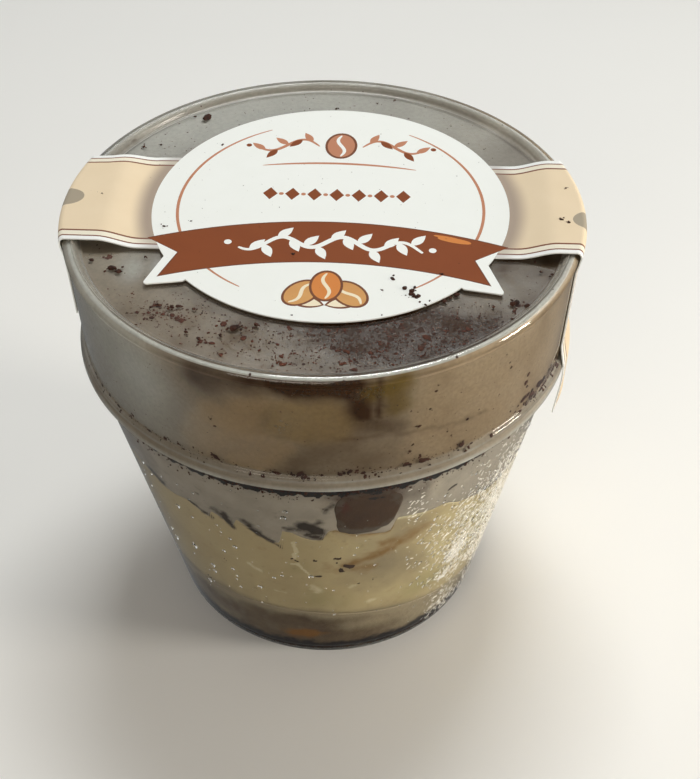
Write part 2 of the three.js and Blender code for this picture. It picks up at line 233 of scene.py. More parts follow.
where = node(turned, "GeometryNodeInputPosition").outputs[0]
picked = node(turned, "GeometryNodeSampleIndex", data_type="FLOAT_VECTOR")
turned.links.new(given["Section"], picked.inputs["Geometry"])
turned.links.new(where, picked.inputs["Value"])
turned.links.new(row, picked.inputs["Index"])
swung = node(turned, "ShaderNodeVectorRotate", {"Vector": picked.outputs[0], "Axis": (0, 0, 1),
                                                "Angle": angle}, rotation_type="AXIS_ANGLE")
moved = node(turned, "GeometryNodeSetPosition", {"Geometry": grid.outputs["Mesh"],
                                                 "Position": swung.outputs[0]}).outputs[0]
joined = node(turned, "GeometryNodeMergeByDistance", {"Geometry": moved,
                                                      "Distance": given["Seam Distance"]}).outputs[0]
smooth = node(turned, "GeometryNodeSetShadeSmooth", {"Geometry": joined}).outputs[0]
real = node(turned, "GeometryNodeRealizeInstances", {0: smooth}).outputs[0]
painted = node(turned, "GeometryNodeSetMaterial", {"Geometry": real, "Material": given["Material"]})
node(turned, "NodeGroupOutput", {0: painted.outputs[0]})


def grow(name, points, tree, inputs, vectors=None):
    """Runs a Geometry Nodes tree on loose points and keeps what it makes as a plain mesh."""
    made = mesh_object(name, points, [])
    for key, values in (vectors or {}).items():
        stored = made.data.attributes.new(key, "FLOAT_VECTOR", "POINT")
        stored.data.foreach_set("vector", np.asarray(values, np.float32).ravel())
    modifier = made.modifiers.new(name, "NODES")
    modifier.node_group = tree
    for socket in tree.interface.items_tree:
        if socket.in_out == "INPUT" and socket.name in inputs:
            modifier[socket.identifier] = inputs[socket.name]
    ready = made.evaluated_get(bpy.context.evaluated_depsgraph_get())
    plain = bpy.data.meshes.new_from_object(ready)
    while plain.materials[0] is None:         # the empty slot that a primitive grid starts with
        plain.materials.pop(index=0)
    made.modifiers.clear()
    made.data = plain
    return made


def clear_shader(tree, tint, roughness, ior=1.58, shade_tint=None):
    """Something clear, polystyrene unless another IOR is given: a hard gloss, and lamps shine through."""
    wall = node(tree, "ShaderNodeBsdfPrincipled", {
        "Base Color": linear(tint), "Roughness": roughness, "IOR": ior, "Transmission Weight": 1.0})
    open_way = node(tree, "ShaderNodeBsdfTransparent", {"Color": linear(shade_tint or tint)})
    shade = node(tree, "ShaderNodeLightPath").outputs["Is Shadow Ray"]
    mix = node(tree, "ShaderNodeMixShader", {0: shade, 1: wall.outputs[0], 2: open_way.outputs[0]})
    return mix.outputs[0]


# The outside of cup and lid: clean plastic with the faint greyness of thin clear mouldings.
clear_polystyrene, tree = new_material("clear moulded polystyrene")
node(tree, "ShaderNodeOutputMaterial", {"Surface": clear_shader(tree, "#f9fbfa", 0.03)})

# The inside: the same plastic under a film of condensation and cream fat, dotted with cocoa. How
# thick, warm, olive, brown and pale the film is, and how much cocoa lies in it, is painted on each
# piece as attributes. Its brown holds painted shade as well as dirt, and its pale painted light.
clouded_polystyrene, tree = new_material("clouded polystyrene")
place = node(tree, "ShaderNodeTexCoord").outputs["Object"]
film, warmth, olive, soil_and_shade, pale, cocoa = [
    node(tree, "ShaderNodeAttribute", attribute_name=key).outputs["Fac"]
    for key in ("film", "warmth", "olive", "soil_and_shade", "pale", "cocoa")]
# wisps about 9 mm across, over beads of water about 0.8 mm across
wisps = node(tree, "ShaderNodeTexNoise", {"Vector": place, "Scale": 110.0, "Detail": 6.0}).outputs["Fac"]
beads = node(tree, "ShaderNodeTexNoise", {"Vector": place, "Scale": 1250.0, "Detail": 2.0}).outputs["Fac"]
wispy, beady, uneven = [
    node(tree, "ShaderNodeMapRange", {"Value": value, "From Min": 0.3, "From Max": 0.7,
                                      "To Min": low, "To Max": high}).outputs[0]
    for value, low, high in ((wisps, 0.85, 1.1), (beads, 0.9, 1.06), (wisps, -0.2, 0.2))]
thick = node(tree, "ShaderNodeMath", {0: film, 1: wispy}, operation="MULTIPLY").outputs[0]
cover = node(tree, "ShaderNodeMath", {0: thick, 1: beady}, operation="MULTIPLY", use_clamp=True).outputs[0]
browner = node(tree, "ShaderNodeMath", {0: soil_and_shade, 1: uneven}, use_clamp=True).outputs[0]
milk = linear("#a7a399")
for amount, colour in ((warmth, "#ad9067"), (olive, "#7a6224"), (browner, "#3f2711"), (pale, "#cfd0cb")):
    blend = node(tree, "ShaderNodeMix", {"Factor": amount, COLOUR_A: milk, COLOUR_B: linear(colour)},
                 data_type="RGBA")
    milk = blend.outputs[MIXED]
front_side = node(tree, "ShaderNodeBsdfPrincipled", {"Base Color": milk, "Roughness": 0.5,
                                                     "Specular IOR Level": 0.08}).outputs[0]
back_side = node(tree, "ShaderNodeBsdfTranslucent", {"Color": milk}).outputs[0]
mist = node(tree, "ShaderNodeMixShader", {0: 0.3, 1: front_side, 2: back_side}).outputs[0]
misted = node(tree, "ShaderNodeMixShader", {0: cover, 1: clear_shader(tree, "#f9fbfa", 0.15), 2: mist})
# cocoa dust: grains in cells about 2.2 mm apart, bigger where more cocoa lies
cells = node(tree, "ShaderNodeTexVoronoi", {"Vector": place, "Scale": 450.0})
luck = node(tree, "ShaderNodeSeparateColor", {0: cells.outputs["Color"]}).outputs[0]
reach = node(tree, "ShaderNodeMath", {0: luck, 1: cocoa}, operation="MULTIPLY").outputs[0]
grain = node(tree, "ShaderNodeMath", {0: cells.outputs["Distance"], 1: reach}, operation="LESS_THAN")
dust = node(tree, "ShaderNodeBsdfPrincipled", {"Base Color": linear("#3a2217"), "Roughness": 0.9})
dusted = node(tree, "ShaderNodeMixShader", {0: grain.outputs[0], 1: misted.outputs[0], 2: dust.outputs[0]})
node(tree, "ShaderNodeOutputMaterial", {"Surface": dusted.outputs[0]})


def paint(piece, name, values):
    """Stores one number for each point of a piece, for its material to read."""
    stored = piece.data.attributes.new(name, "FLOAT", "POINT")
    stored.data.foreach_set("value", np.broadcast_to(values, len(piece.data.vertices)).astype(np.float32))


def points_of(piece):
    """The piece's points as x, y and z in millimetres, and their angle round the cup in degrees."""
    flat = np.zeros(len(piece.data.vertices) * 3)
    piece.data.vertices.foreach_get("co", flat)
    x, y, z = flat.reshape(-1, 3).T / MM
    return x, y, z, np.degrees(np.arctan2(x, -y))


CEILING_Z = 91.5                  # above it, only the lid's underside looks down
INSIDE_RADIUS = 49.3              # further out, a face that looks inwards is the skirt's


def cloud_inside(piece):
    """Gives the faces that look inwards or down into the cup the clouded material."""
    piece.data.materials.append(clouded_polystyrene)
    for face in piece.data.polygons:
        middle = face.center / MM
        radius = math.hypot(middle.x, middle.y)
        inwards = face.normal.x * middle.x + face.normal.y * middle.y < -0.2 * radius
        under_top = face.normal.z < -0.2 and middle.z > CEILING_Z
        if inwards and radius < INSIDE_RADIUS or under_top:
            face.material_index = 1


def settle(piece, slot, *nodes):
    """Fixes a finished piece to the object in place of its CAD solids."""
    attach(piece, "root")
    if nodes:
        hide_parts(*nodes)


MISTED_Z = 66                     # above it the cup's inside is misted as the lid is
foot_inner = FOOT_RADIUS - FOOT_RING_WIDTH
cup_section = rounded_section([
    (0, FOOT_RECESS), (foot_inner - 0.6, FOOT_RECESS), (foot_inner, 0.5), (foot_inner, 0),
    (FOOT_RADIUS - 0.6, 0), (FOOT_RADIUS, 0.6), (CONE_TOP_RADIUS, CONE_TOP_Z),
    (CONE_TOP_RADIUS - 0.15, CONE_TOP_Z + 0.6), (COLLAR_RADIUS, COLLAR_FOOT_Z),
    (COLLAR_RADIUS, RIM_Z - 0.5), (COLLAR_RADIUS - WALL / 2, RIM_Z), (COLLAR_RADIUS - WALL, RIM_Z - 0.5),
    (COLLAR_RADIUS - WALL, COLLAR_FOOT_Z), (inner_radius(SHOULDER_Z), SHOULDER_Z),
    (inner_radius(FLOOR_Z + FLOOR_FILLET), FLOOR_Z + FLOOR_FILLET), (inner_radius(FLOOR_Z), FLOOR_Z),
    (0, FLOOR_Z)], 0.5, 1.1)
cup = grow("cup_moulding", cup_section, turned,
           {"Steps Round": 300, "Seam Distance": 1e-6, "Material": clear_polystyrene})
cloud_inside(cup)
x, y, z, turn = points_of(cup)
in_foot = z < FLOOR_Z - 0.1                               # painted shade: the foot's recess is filmed dark brown
paint(cup, "film", 0.35 * (z > MISTED_Z) + 0.9 * in_foot)
paint(cup, "warmth", 0.5 + 0.4 * np.sin(np.radians(turn)))
paint(cup, "soil_and_shade", 0.3 + 0.65 * in_foot)
paint(cup, "pale", 0.0)
paint(cup, "olive", 0.0)
paint(cup, "cocoa", 0.10)
settle(cup, "clear_cup", "cup")


# ==== lid ====
# A flat panel inside a raised ring, a nearly upright wall, and a skirt that flares over the cup's
# shoulder. The same clear polystyrene, moulded in one piece and pressed on by hand.

LID_TOP_Z = 94.9
LID_RADIUS = 50
RING_WIDTH = 2.6
PANEL_Z = LID_TOP_Z - 1.6
RING_INNER = LID_RADIUS - RING_WIDTH
LID_WALL_TOP_RADIUS = 49.6
LID_WALL_FOOT_RADIUS = 48.8
SKIRT_TOP_Z = 71.0
SKIRT_FOOT_Z = 67.9
SKIRT_RADIUS = 49.95
# where the ring, the wall, the skirt and the pale band under the ring's edge begin, as they are painted
RING_NEAR, RING_FAR, RING_LOW_Z, RING_HIGH_Z = 46.7, 48.5, 92.4, 93.9
WALL_NEAR = 47.95
SKIRT_BELOW_Z = 71.3
BAND_NEAR, BAND_LOW_Z = 48.2, 93.7

BACK_START, BACK_FADE = 150, 9    # degrees: the unseen back, where marks fade out


def right_of(turn, start, soft):
    """1 from a place in degrees on to the right, 0 to its left and behind the cup, with soft ends."""
    return 1 / (1 + np.exp((start - turn) / soft)) / (1 + np.exp((turn - BACK_START) / BACK_FADE))


def soft_spots(across, up, spots):
    """Sum of soft ovals: (middle across, middle up, half width, half height, strength)."""
    total = 0
    for middle, high, wide, tall, strength in spots:
        total = total + strength * np.exp(-((across - middle) / wide) ** 2 - ((up - high) / tall) ** 2)
    return total


MM_PER_DEGREE = 0.8               # round the wall, where most of these marks are


def soft_strokes(turn, z, strokes, sharp=2):
    """Deepest of soft strokes: from degrees and height, to degrees and height, half width, strength.
    None is quite straight, since the places are stirred a little first."""
    turn, z = (turn + 0.3 * np.sin(1.3 * z + 0.31 * turn) + 0.12 * np.sin(4.3 * z - 0.9 * turn),
               z + 0.25 * np.sin(0.6 * turn + 0.6 * z) + 0.1 * np.sin(2.1 * turn))
    deepest = 0
    for turn_0, z_0, turn_1, z_1, half, strength in strokes:
        run, rise = (turn_1 - turn_0) * MM_PER_DEGREE, z_1 - z_0
        along, up = (turn - turn_0) * MM_PER_DEGREE, z - z_0
        part = np.clip((along * run + up * rise) / max(run * run + rise * rise, 1e-6), 0, 1)
        away = np.hypot(along - part * run, up - part * rise)
        deepest = np.maximum(deepest, strength * np.exp(-(away / half) ** sharp))
    return deepest


lid_section = rounded_section([
    (0, PANEL_Z - WALL), (RING_INNER - 0.6, PANEL_Z - WALL), (RING_INNER + 0.6, PANEL_Z - WALL + 0.3),
    (RING_INNER + 1.0, LID_TOP_Z - WALL), (LID_RADIUS - WALL - 0.3, LID_TOP_Z - WALL),
    (LID_RADIUS - WALL, LID_TOP_Z - 1.4), (LID_WALL_TOP_RADIUS - WALL, LID_TOP_Z - 2.4),
    (LID_WALL_FOOT_RADIUS - WALL + 0.05, SKIRT_TOP_Z - 0.9), (SKIRT_RADIUS - WALL, SKIRT_FOOT_Z + 1.4),
    (SKIRT_RADIUS - WALL + 0.1, SKIRT_FOOT_Z), (SKIRT_RADIUS - 0.25, SKIRT_FOOT_Z),
    (SKIRT_RADIUS, SKIRT_FOOT_Z + 0.3), (SKIRT_RADIUS - 0.05, SKIRT_TOP_Z - 1.9),
    (LID_WALL_FOOT_RADIUS + 0.5, SKIRT_TOP_Z - 0.2), (LID_WALL_FOOT_RADIUS, SKIRT_TOP_Z),
    (LID_WALL_TOP_RADIUS, LID_TOP_Z - 2.3), (LID_RADIUS, LID_TOP_Z - 1.6), (LID_RADIUS, LID_TOP_Z - 0.7),
    (LID_RADIUS - 0.7, LID_TOP_Z), (RING_INNER + 0.6, LID_TOP_Z), (RING_INNER, LID_TOP_Z - 0.6),
    (RING_INNER - 0.2, PANEL_Z + 0.25), (RING_INNER - 1.0, PANEL_Z), (0, PANEL_Z)], 0.45, 0.8)
lid = grow("lid_moulding", lid_section, turned,
           {"Steps Round": 300, "Seam Distance": 1e-6, "Material": clear_polystyrene})
cloud_inside(lid)
x, y, z, turn = points_of(lid)
radius = np.hypot(x, y)
on_ring = (z > RING_LOW_Z) & (radius > RING_NEAR) & ((radius < RING_FAR) | (z > RING_HIGH_Z))
on_wall = (radius > WALL_NEAR) & ~on_ring
on_skirt = on_wall & (z < SKIRT_BELOW_Z)
band = on_ring & (radius > BAND_NEAR) & (z > BAND_LOW_Z)
in_front = np.exp(-(turn / 50) ** 2)
right = right_of(turn - 0.12 * (z - 77), 18, 1.2)
left = 1 - right_of(turn, -34, 4)
# on the wall the film is thick, and thin where the lumps of cream show; the dark gap round them is
# painted shade in the film's brown, which leaves the lumps and the right free
tan_lump = soft_strokes(turn, z, [
    (-25.5, 75.5, -21, 82, 4.6, 1.0), (-19, 81, -11, 85.0, 5.6, 1.0), (-16, 73, -11, 78, 4.8, 0.9)], 5)
yellow_lump = soft_strokes(turn, z, [(-5.5, 84.4, 1.2, 84.6, 5.6, 1.0)], 6)
creased = soft_strokes(turn, z, [(9.8, 90.6, 16.5, 92.2, 2.6, 1.0), (16.0, 86.8, 15.6, 91, 2.7, 0.9)], 4)
gap_shade = soft_strokes(turn, z, [
    (-25, 91.6, -8, 94.5, 3.4, 0.8), (-8, 93.4, 6, 92.2, 3.2, 1.1), (6.8, 91, 8.4, 85.6, 2.3, 0.9),
    (9, 83.6, 16, 81.6, 2.0, 0.55), (-20, 90.5, -9, 91.0, 1.6, 0.5), (11.6, 94, 12.2, 85.5, 0.7, 0.8),
    (1.4, 80.5, 16.4, 79.6, 0.45, 0.3), (16.4, 79.6, 37, 77.5, 0.45, 0.4), (-53, 73, -26, 77, 0.4, 0.3),
    (-26, 77, -9, 77.8, 0.4, 0.3)], 3)
wall_film = 0.95 - 0.18 * tan_lump - 0.15 * yellow_lump - 0.08 * creased
wall_soil_and_shade = (0.44 - 0.30 * right - 0.50 * left + 0.60 * gap_shade
             - (0.45 * tan_lump + 0.36 * yellow_lump + 0.12 * creased) * (1 - right))
wall_warmth = 0.58 + 0.10 * right - 0.50 * left + 0.36 * np.maximum(tan_lump, yellow_lump) * (1 - right)
# painted reflections: soft pale glows on the left of the wall
wall_painted_glow = soft_spots(turn, z, [(-41, 85, 8, 6, 0.5), (-52, 88, 8, 7, 0.25), (-38, 79, 15, 11, 0.36)])
# the skirt is brown, with painted highlights along its thin bright edges
edges = 0.55 * np.exp(-((z - 69.6) / 0.18) ** 2) + 1.1 * np.exp(-((z - 68.0) / 0.22) ** 2)
ripple = 0.7 + 0.3 * np.sin(np.radians(19 * turn)) * np.sin(np.radians(6 * turn) + 1)
skirt_soil_and_highlights = 0.26 - 0.26 * edges - 0.1 * right
skirt_painted_highlights = 0.10 + 0.8 * edges * ripple
# the panel is browner in front and at the right, with painted shadow at the sticker's edge, and two pale
# smears
painted_sticker_shadow = np.exp(-((np.hypot(x - 1.5, y - 2.3) - 36.6) / 2.2) ** 2) * (y < 0)
panel_soil_and_shadow = (0.22 + 0.26 / (1 + np.exp((y + 24) / 6)) + 0.22 * painted_sticker_shadow
              + soft_spots(x, y, [(18, -38, 22, 9, 0.85), (44, -6, 12, 28, 0.65)]))
# painted light: the panel is paler towards the back and the left, besides its two smears
panel_painted_light_and_smears = ((0.32 - 0.005 * x) / (1 + np.exp((14 - y) / 8))
              + soft_spots(x, y, [(-35, -17, 2.4, 4, 0.5), (-30.6, -16, 1.3, 3, 0.4)]))
panel_cocoa = 0.10 + 0.30 * soft_spots(x, y, [(16, -37, 22, 9, 1.0), (-27, -29, 7, 5, 0.5)])
parts = [band, on_ring, on_skirt, on_wall]
# painted light and shade on the ring: a highlight on the pale band under its edge, and darker in front,
# where the dark inside shows, than at its paler sides
paint(lid, "film", np.select(parts, [0.85, 0.55 - 0.4 * in_front, wall_film, wall_film], 0.93))
paint(lid, "warmth", np.select(parts, [0.2, 0.2, 0.45, wall_warmth], 0.25 - 0.25 * y / LID_RADIUS))
paint(lid, "soil_and_shade", np.select(parts, [0.0, 0.1 + 0.6 * in_front, skirt_soil_and_highlights, wall_soil_and_shade], panel_soil_and_shadow))
paint(lid, "pale", np.select(parts, [0.7, 0.3 * (1 - in_front), skirt_painted_highlights, wall_painted_glow], panel_painted_light_and_smears))
paint(lid, "olive", np.where(on_wall, (1.0 * creased + 0.35 * yellow_lump) * (1 - right), 0.0))
paint(lid, "cocoa", np.where(on_wall, 0.06, panel_cocoa))
settle(lid, "clear_lid", "lid")


# ==== sticker ====
# One piece of coated white paper that seals the lid: a round middle with a printed ribbon, and two
# bands that run over the lid's edge and down its sides, torn off at their ends. Offset print.

PAPER = 0.25
GAP = 0.3                         # between the paper and the plastic, as in the CAD model
STICKER_TURN = math.radians(-2.7)
STICKER_X = 1.45
STICKER_Y = 2.3
STICKER_SQUEEZE = 0.972           # the disc is a little narrower than it is long
DISC_RADIUS = 35.7
BAND_HALF_WIDTH = 15.5
BAND_LIFT_START = 36.5
BAND_LIFT_END = 44.5
FOLD_RADIUS = 0.75
TAIL_END_Z = 56
TAIL_TEAR = 2.2
FOLD_START = LID_RADIUS + GAP - FOLD_RADIUS
FOLD_LENGTH = FOLD_RADIUS * math.pi / 2
BAND_CREST_Z = LID_TOP_Z + GAP

inks = []                         # the sticker's materials, by name


def ink(name, colour, other, fade=0.0, gloss=0.42):
    """Coated paper printed in one ink: faintly mottled, and shaded where the disc lies over it."""
    made, tree = new_material(name)
    place = node(tree, "ShaderNodeTexCoord").outputs["Object"]
    # uneven ink about 5 mm across, and paper fibres 0.3 mm apart
    mottle, fibre = [
        node(tree, "ShaderNodeTexNoise", {"Vector": place, "Scale": scale, "Detail": detail}).outputs["Fac"]
        for scale, detail in ((200.0, 5.0), (3200.0, 2.0))]
    tone = node(tree, "ShaderNodeMix", {"Factor": mottle, COLOUR_A: linear(colour),
                                        COLOUR_B: linear(other)}, data_type="RGBA").outputs[MIXED]
    middle = (STICKER_X * MM, STICKER_Y * MM, BAND_CREST_Z * MM)
    away = node(tree, "ShaderNodeVectorMath", {0: place, 1: middle}, operation="DISTANCE").outputs["Value"]
    near = node(tree, "ShaderNodeMapRange", {
        "Value": away, "From Min": (DISC_RADIUS - 0.2) * MM, "From Max": (DISC_RADIUS + 3.4) * MM,
        "To Min": fade, "To Max": 0.0}, interpolation_type="SMOOTHSTEP").outputs[0]
    shaded = node(tree, "ShaderNodeMix", {"Factor": near, COLOUR_A: tone, COLOUR_B: linear("#8f7f78")},
                  data_type="RGBA").outputs[MIXED]
    relief = node(tree, "ShaderNodeBump", {"Height": fibre, "Strength": 0.12, "Distance": 0.00005})
    surface = node(tree, "ShaderNodeBsdfPrincipled", {
        "Base Color": shaded, "Roughness": gloss, "Specular IOR Level": 0.2, "Normal": relief.outputs[0]})
    node(tree, "ShaderNodeOutputMaterial", {"Surface": surface.outputs[0]})
    inks.append(made)
    return len(inks) - 1


BACKING = ink("uncoated paper back", "#9c9284", "#8c8274", gloss=0.8)
WHITE = ink("coated white paper", "#f3f5f0", "#f7f9f5")
MARGIN = ink("white paper margin", "#f3f4f1", "#f8f9f6", fade=0.45)
BEIGE = ink("beige print", "#eedabb", "#e8d3b2", fade=0.75)
IVORY = ink("ivory print", "#efe7d2", "#f2ebd8", fade=0.45)
LINE = ink("brown line print", "#7c4a36", "#84523c", fade=0.3)
SPOT = ink("taupe print", "#a79a86", "#aa9f8c")
TERRACOTTA = ink("terracotta print", "#bd7f5f", "#c48768")
RIBBON = ink("ribbon brown print", "#8a4517", "#803d13")
RIBBON_EDGE = ink("dark ribbon edge print", "#6b3a22", "#72402a")
ORANGE = ink("orange print", "#d27f3b", "#dc8c45")
BEAN = ink("bean brown print", "#6f3f27", "#7d4a2c")
BISCUIT = ink("biscuit print", "#c98c50", "#dca866")
CREAM_INK = ink("cream print", "#f1e2bf", "#f6ead0")


def on_lid(flat):
    """From the sticker's own flat coordinates to the lid's plane."""
    cos, sin = math.cos(STICKER_TURN), math.sin(STICKER_TURN)
    # the left band narrows at its far edge, towards the fold
    taper = np.clip((-flat[:, 0] - 36) / 12, 0, 1) * np.clip(flat[:, 1], 0, None) * 0.17
    x = STICKER_SQUEEZE * (flat[:, 0] * cos - flat[:, 1] * sin) + STICKER_X
    y = flat[:, 0] * sin + flat[:, 1] * cos - taper + STICKER_Y
    return x, y


def paper_surface(flat):
    """Underside of the sticker at flat points, and the direction its thickness takes: along the
    panel, up over the lid's ring, round its edge and down its side."""
    x, y = on_lid(flat)
    side = np.where(flat[:, 0] < 0, -1, 1)
    edge = np.sqrt(FOLD_START ** 2 - y ** 2)
    past = side * x - edge
    share = np.clip((np.abs(flat[:, 0]) - BAND_LIFT_START) / (BAND_LIFT_END - BAND_LIFT_START), 0, 1)
    lift = share * share * (3 - 2 * share)
    high = PANEL_Z + GAP + (BAND_CREST_Z - PANEL_Z - GAP) * lift
    bend = np.clip(past / FOLD_RADIUS, 0, math.pi / 2)
    hang = np.clip(past - FOLD_LENGTH, 0, None)
    # they cling to the lid's wall, pass over its skirt, wave, and curl in at the front below it
    wave = np.where(side > 0, 0.02, 0.05) * (1 + np.sin(flat[:, 1] * 0.42 + side * hang * 0.12))
    wave = wave * np.clip(hang / 6, 0, 1)
    cling = np.interp(BAND_CREST_Z - hang, [69.3, 74, 91.8, 93.6, 95], [0.25, 1.3, 0.66, 0.2, 0.0])
    cling = cling * np.where(side > 0, 1.0, 0.8)
    at_front = np.exp(-((flat[:, 1] + BAND_HALF_WIDTH) / 6) ** 2)
    curl = 0.10 * np.clip(66 - BAND_CREST_Z + hang, 0, None) * at_front
    radius = FOLD_START + FOLD_RADIUS * np.sin(bend) + wave - cling - curl
    over = past > 0
    out_x, out_y = side * edge / FOLD_START, y / FOLD_START
    points = np.column_stack([
        np.where(over, out_x * radius, x), np.where(over, out_y * radius, y),
        np.where(over, BAND_CREST_Z - FOLD_RADIUS * (1 - np.cos(bend)) - hang, high)])
    tilt = np.where(over, np.sin(bend), 0)
    return points, np.column_stack([out_x * tilt, out_y * tilt, np.where(over, np.cos(bend), 1)])


def fold_at(side, flat_y):
    """Flat distance at which a band's line meets the fold over the lid's edge."""
    fold = 48.0
    for _ in range(6):
        x, y = on_lid(np.array([[side * fold, flat_y]]))
        fold += math.sqrt(FOLD_START ** 2 - y[0] ** 2) - side * x[0]
    return fold


corners, creases, shapes, prints = [], [], [], []


def print_shape(outline, ink_index):
    """Adds a printed shape, its outline turned to run anticlockwise; it covers the ones before."""
    outline = np.array(outline, float)
    onward = np.roll(outline, -1, axis=0)
    if np.sum(outline[:, 0] * onward[:, 1] - onward[:, 0] * outline[:, 1]) < 0:
        outline = outline[::-1]
    start = len(corners)
    corners.extend(Vector(point) for point in outline.tolist())
    shapes.append(list(range(start, len(corners))))
    prints.append(ink_index)


def crease(line):
    """Adds a line of points along which the paper may bend."""
    start = len(corners)
    corners.extend(Vector(point) for point in line)
    creases.extend((k, k + 1) for k in range(start, len(corners) - 1))


def arc(radius, start, end, steps, x=0.0, y=0.0):
    """Points of a circle about a point, between two directions in degrees."""
    return [(x + radius * math.cos(a), y + radius * math.sin(a))
            for a in np.radians(np.linspace(start, end, steps))]


def stroke(line, width, taper=0.35):
    """Outline of a brushed line that thins towards both ends."""
    line = np.array(line, float)
    ahead = np.gradient(line, axis=0)
    normal = np.column_stack([-ahead[:, 1], ahead[:, 0]]) / np.linalg.norm(ahead, axis=1)[:, None]
    full = np.sin(np.linspace(0, math.pi, len(line))) ** 0.5
    half = (width / 2 * (taper + (1 - taper) * full))[:, None]
    return np.vstack([line + normal * half, (line - normal * half)[::-1]])


def turned_to(outline, x, y, turn):
    """An outline turned by degrees about its origin, then moved to a point."""
    cos, sin = math.cos(math.radians(turn)), math.sin(math.radians(turn))
    return [(x + px * cos - py * sin, y + px * sin + py * cos) for px, py in outline]


def leaf(x, y, length, width, turn, ink_index):
    """A pointed leaf that starts at a point."""
    along = np.linspace(0, 1, 13)
    half = width / 2 * np.sin(math.pi * along ** 0.85)
    upper = list(zip(along * length, half))
    lower = list(zip(along * length, -half))[::-1]
    print_shape(turned_to(upper + lower[1:-1], x, y, turn), ink_index)


def bean(x, y, length, width, turn, body, edge, groove):
    """A coffee bean: a dark outline, a body, and the S-shaped groove down its middle."""
    rim = [(length / 2 * math.cos(a), width / 2 * math.sin(a))
           for a in np.linspace(0, 2 * math.pi, 33)[:-1]]
    print_shape(turned_to([(px * 1.14, py * 1.18) for px, py in rim], x, y, turn), edge)
    print_shape(turned_to(rim, x, y, turn), body)
    along = np.linspace(-0.46, 0.46, 19)
    line = [(t * length, 0.13 * width * math.sin(t * 6.8)) for t in along]
    print_shape(turned_to(stroke(line, 0.14 * width), x, y, turn), groove)


BAND_ROOT = 20                    # the bands start here, under the round middle


def stripe(side, lines, ends, inner, outer, ink_index):
    """A stripe of a band between two distances from its middle line, at both its edges."""
    for edge in (-1, 1):
        low, high = sorted((edge * inner, edge * outer))
        end_y = np.linspace(low, high, max(2, int((high - low) / 0.8)))
        far = np.interp(end_y, lines, ends)
        print_shape([(side * BAND_ROOT, low)] + [(side * f, y) for f, y in zip(far, end_y)]
                    + [(side * BAND_ROOT, high)], ink_index)


# the two bands, with a torn end, their stripes from the edges inwards, and a taupe spot at the fold
for side in (-1, 1):
    lines = np.linspace(-BAND_HALF_WIDTH - 0.4, BAND_HALF_WIDTH + 0.4, 37)
    folds = np.array([fold_at(side, flat_y) for flat_y in lines])
    tail = FOLD_LENGTH + BAND_CREST_Z - FOLD_RADIUS - TAIL_END_Z
    tear = TAIL_TEAR * (0.5 + 0.5 * np.sin(lines * 0.9 + side)) * np.cos(lines * 0.31)
    tear += 0.35 * np.sin(lines * 5.1) * np.cos(lines * 2.3)
    if side < 0:                  # the left band is torn off slantwise, higher at the front
        tear += 20 / (1 + np.exp((lines + 3) / 3))
    ends = folds + tail - np.clip(tear, 0, None)
    for inner, outer, ink_index in ((0.0, BAND_HALF_WIDTH, MARGIN), (12.6, 14.2, IVORY),
                                    (0.0, 12.45, BEIGE), (12.4, 12.85, LINE), (14.15, 14.5, LINE)):
        stripe(side, lines, ends, inner, outer, ink_index)
    past_fold, spot_y = (2.6, -4.8) if side > 0 else (1.4, -1.6)
    spot_x = side * (fold_at(side, 0) + past_fold)
    print_shape([(spot_x + 4.4 * math.cos(a), spot_y + 3.0 * math.sin(a))
                 for a in np.linspace(0, 2 * math.pi, 41)[:-1]], SPOT)
    for flat_x in np.arange(BAND_LIFT_START, BAND_LIFT_END + 2.1, 0.9):
        crease([(side * flat_x, flat_y) for flat_y in lines[::3]])
    steps = [-0.25] + [FOLD_LENGTH * k / 5 for k in range(6)]
    steps += list(np.arange(FOLD_LENGTH + 0.3, tail + 2, 1.6))
    for step in steps:
        crease([(side * (fold + step), flat_y) for fold, flat_y in zip(folds, lines)])

# the round middle, its thin ring, and the white tips that stand out past it
print_shape(arc(DISC_RADIUS, 0, 358.5, 240), WHITE)
for side in (-1, 1):
    tip = arc(0.7, -125, 5, 6, 32.8, -25.7)
    border = [(30.6, -17.0)] + tip[::-1] + [(26.2, -25.2), (20, -18)]
    print_shape([(side * x, y) for x, y in border], WHITE)
RING_RADIUS = 30.6
for start, end in ((59.8, -57.3), (117.7, 239.6)):
    print_shape(stroke(arc(RING_RADIUS, start, end, 90), 0.62), TERRACOTTA)


def ribbon_top(x):
    """The ribbon's arched upper edge."""
    return -5.5 - 0.0055 * x * x


def ribbon_foot(x):
    """The ribbon's arched lower edge."""
    return -18.5 - 0.0058 * x * x


def ribbon_outline(inset):
    """The forked ribbon, arched a little across the sticker."""
    tip = 35.0 - 1.2 * inset
    foot = 31.3 - 1.4 * inset
    upper = [(x, ribbon_top(x) - inset) for x in np.linspace(-tip, tip, 60)]
    lower = [(x, ribbon_foot(x) + inset) for x in np.linspace(foot, -foot, 56)]
    return upper + [(28.5 - inset, -16.6)] + lower + [(inset - 28.5, -16.6)]


print_shape(ribbon_outline(0), RIBBON_EDGE)
print_shape(ribbon_outline(0.28), RIBBON)
sweep = np.linspace(0, 1, 15)
print_shape(stroke([(21.4 + 6.4 * t, -9.7 - 1.6 * t) for t in sweep], 1.5, 0.25), ORANGE)
print_shape(stroke([(20.6 + 4.6 * t, -9.0 - 1.0 * t) for t in sweep], 0.7, 0.25), ORANGE)

# a white vine along the ribbon, with leaves above and below it
VINE_START, VINE_END, VINE_WAVE = -17.0, 18.5, 11.8


def vine(x):
    """The vine's wave along the ribbon."""
    return -12.1 - 0.0057 * x * x + 1.7 * math.sin(2 * math.pi * x / VINE_WAVE)


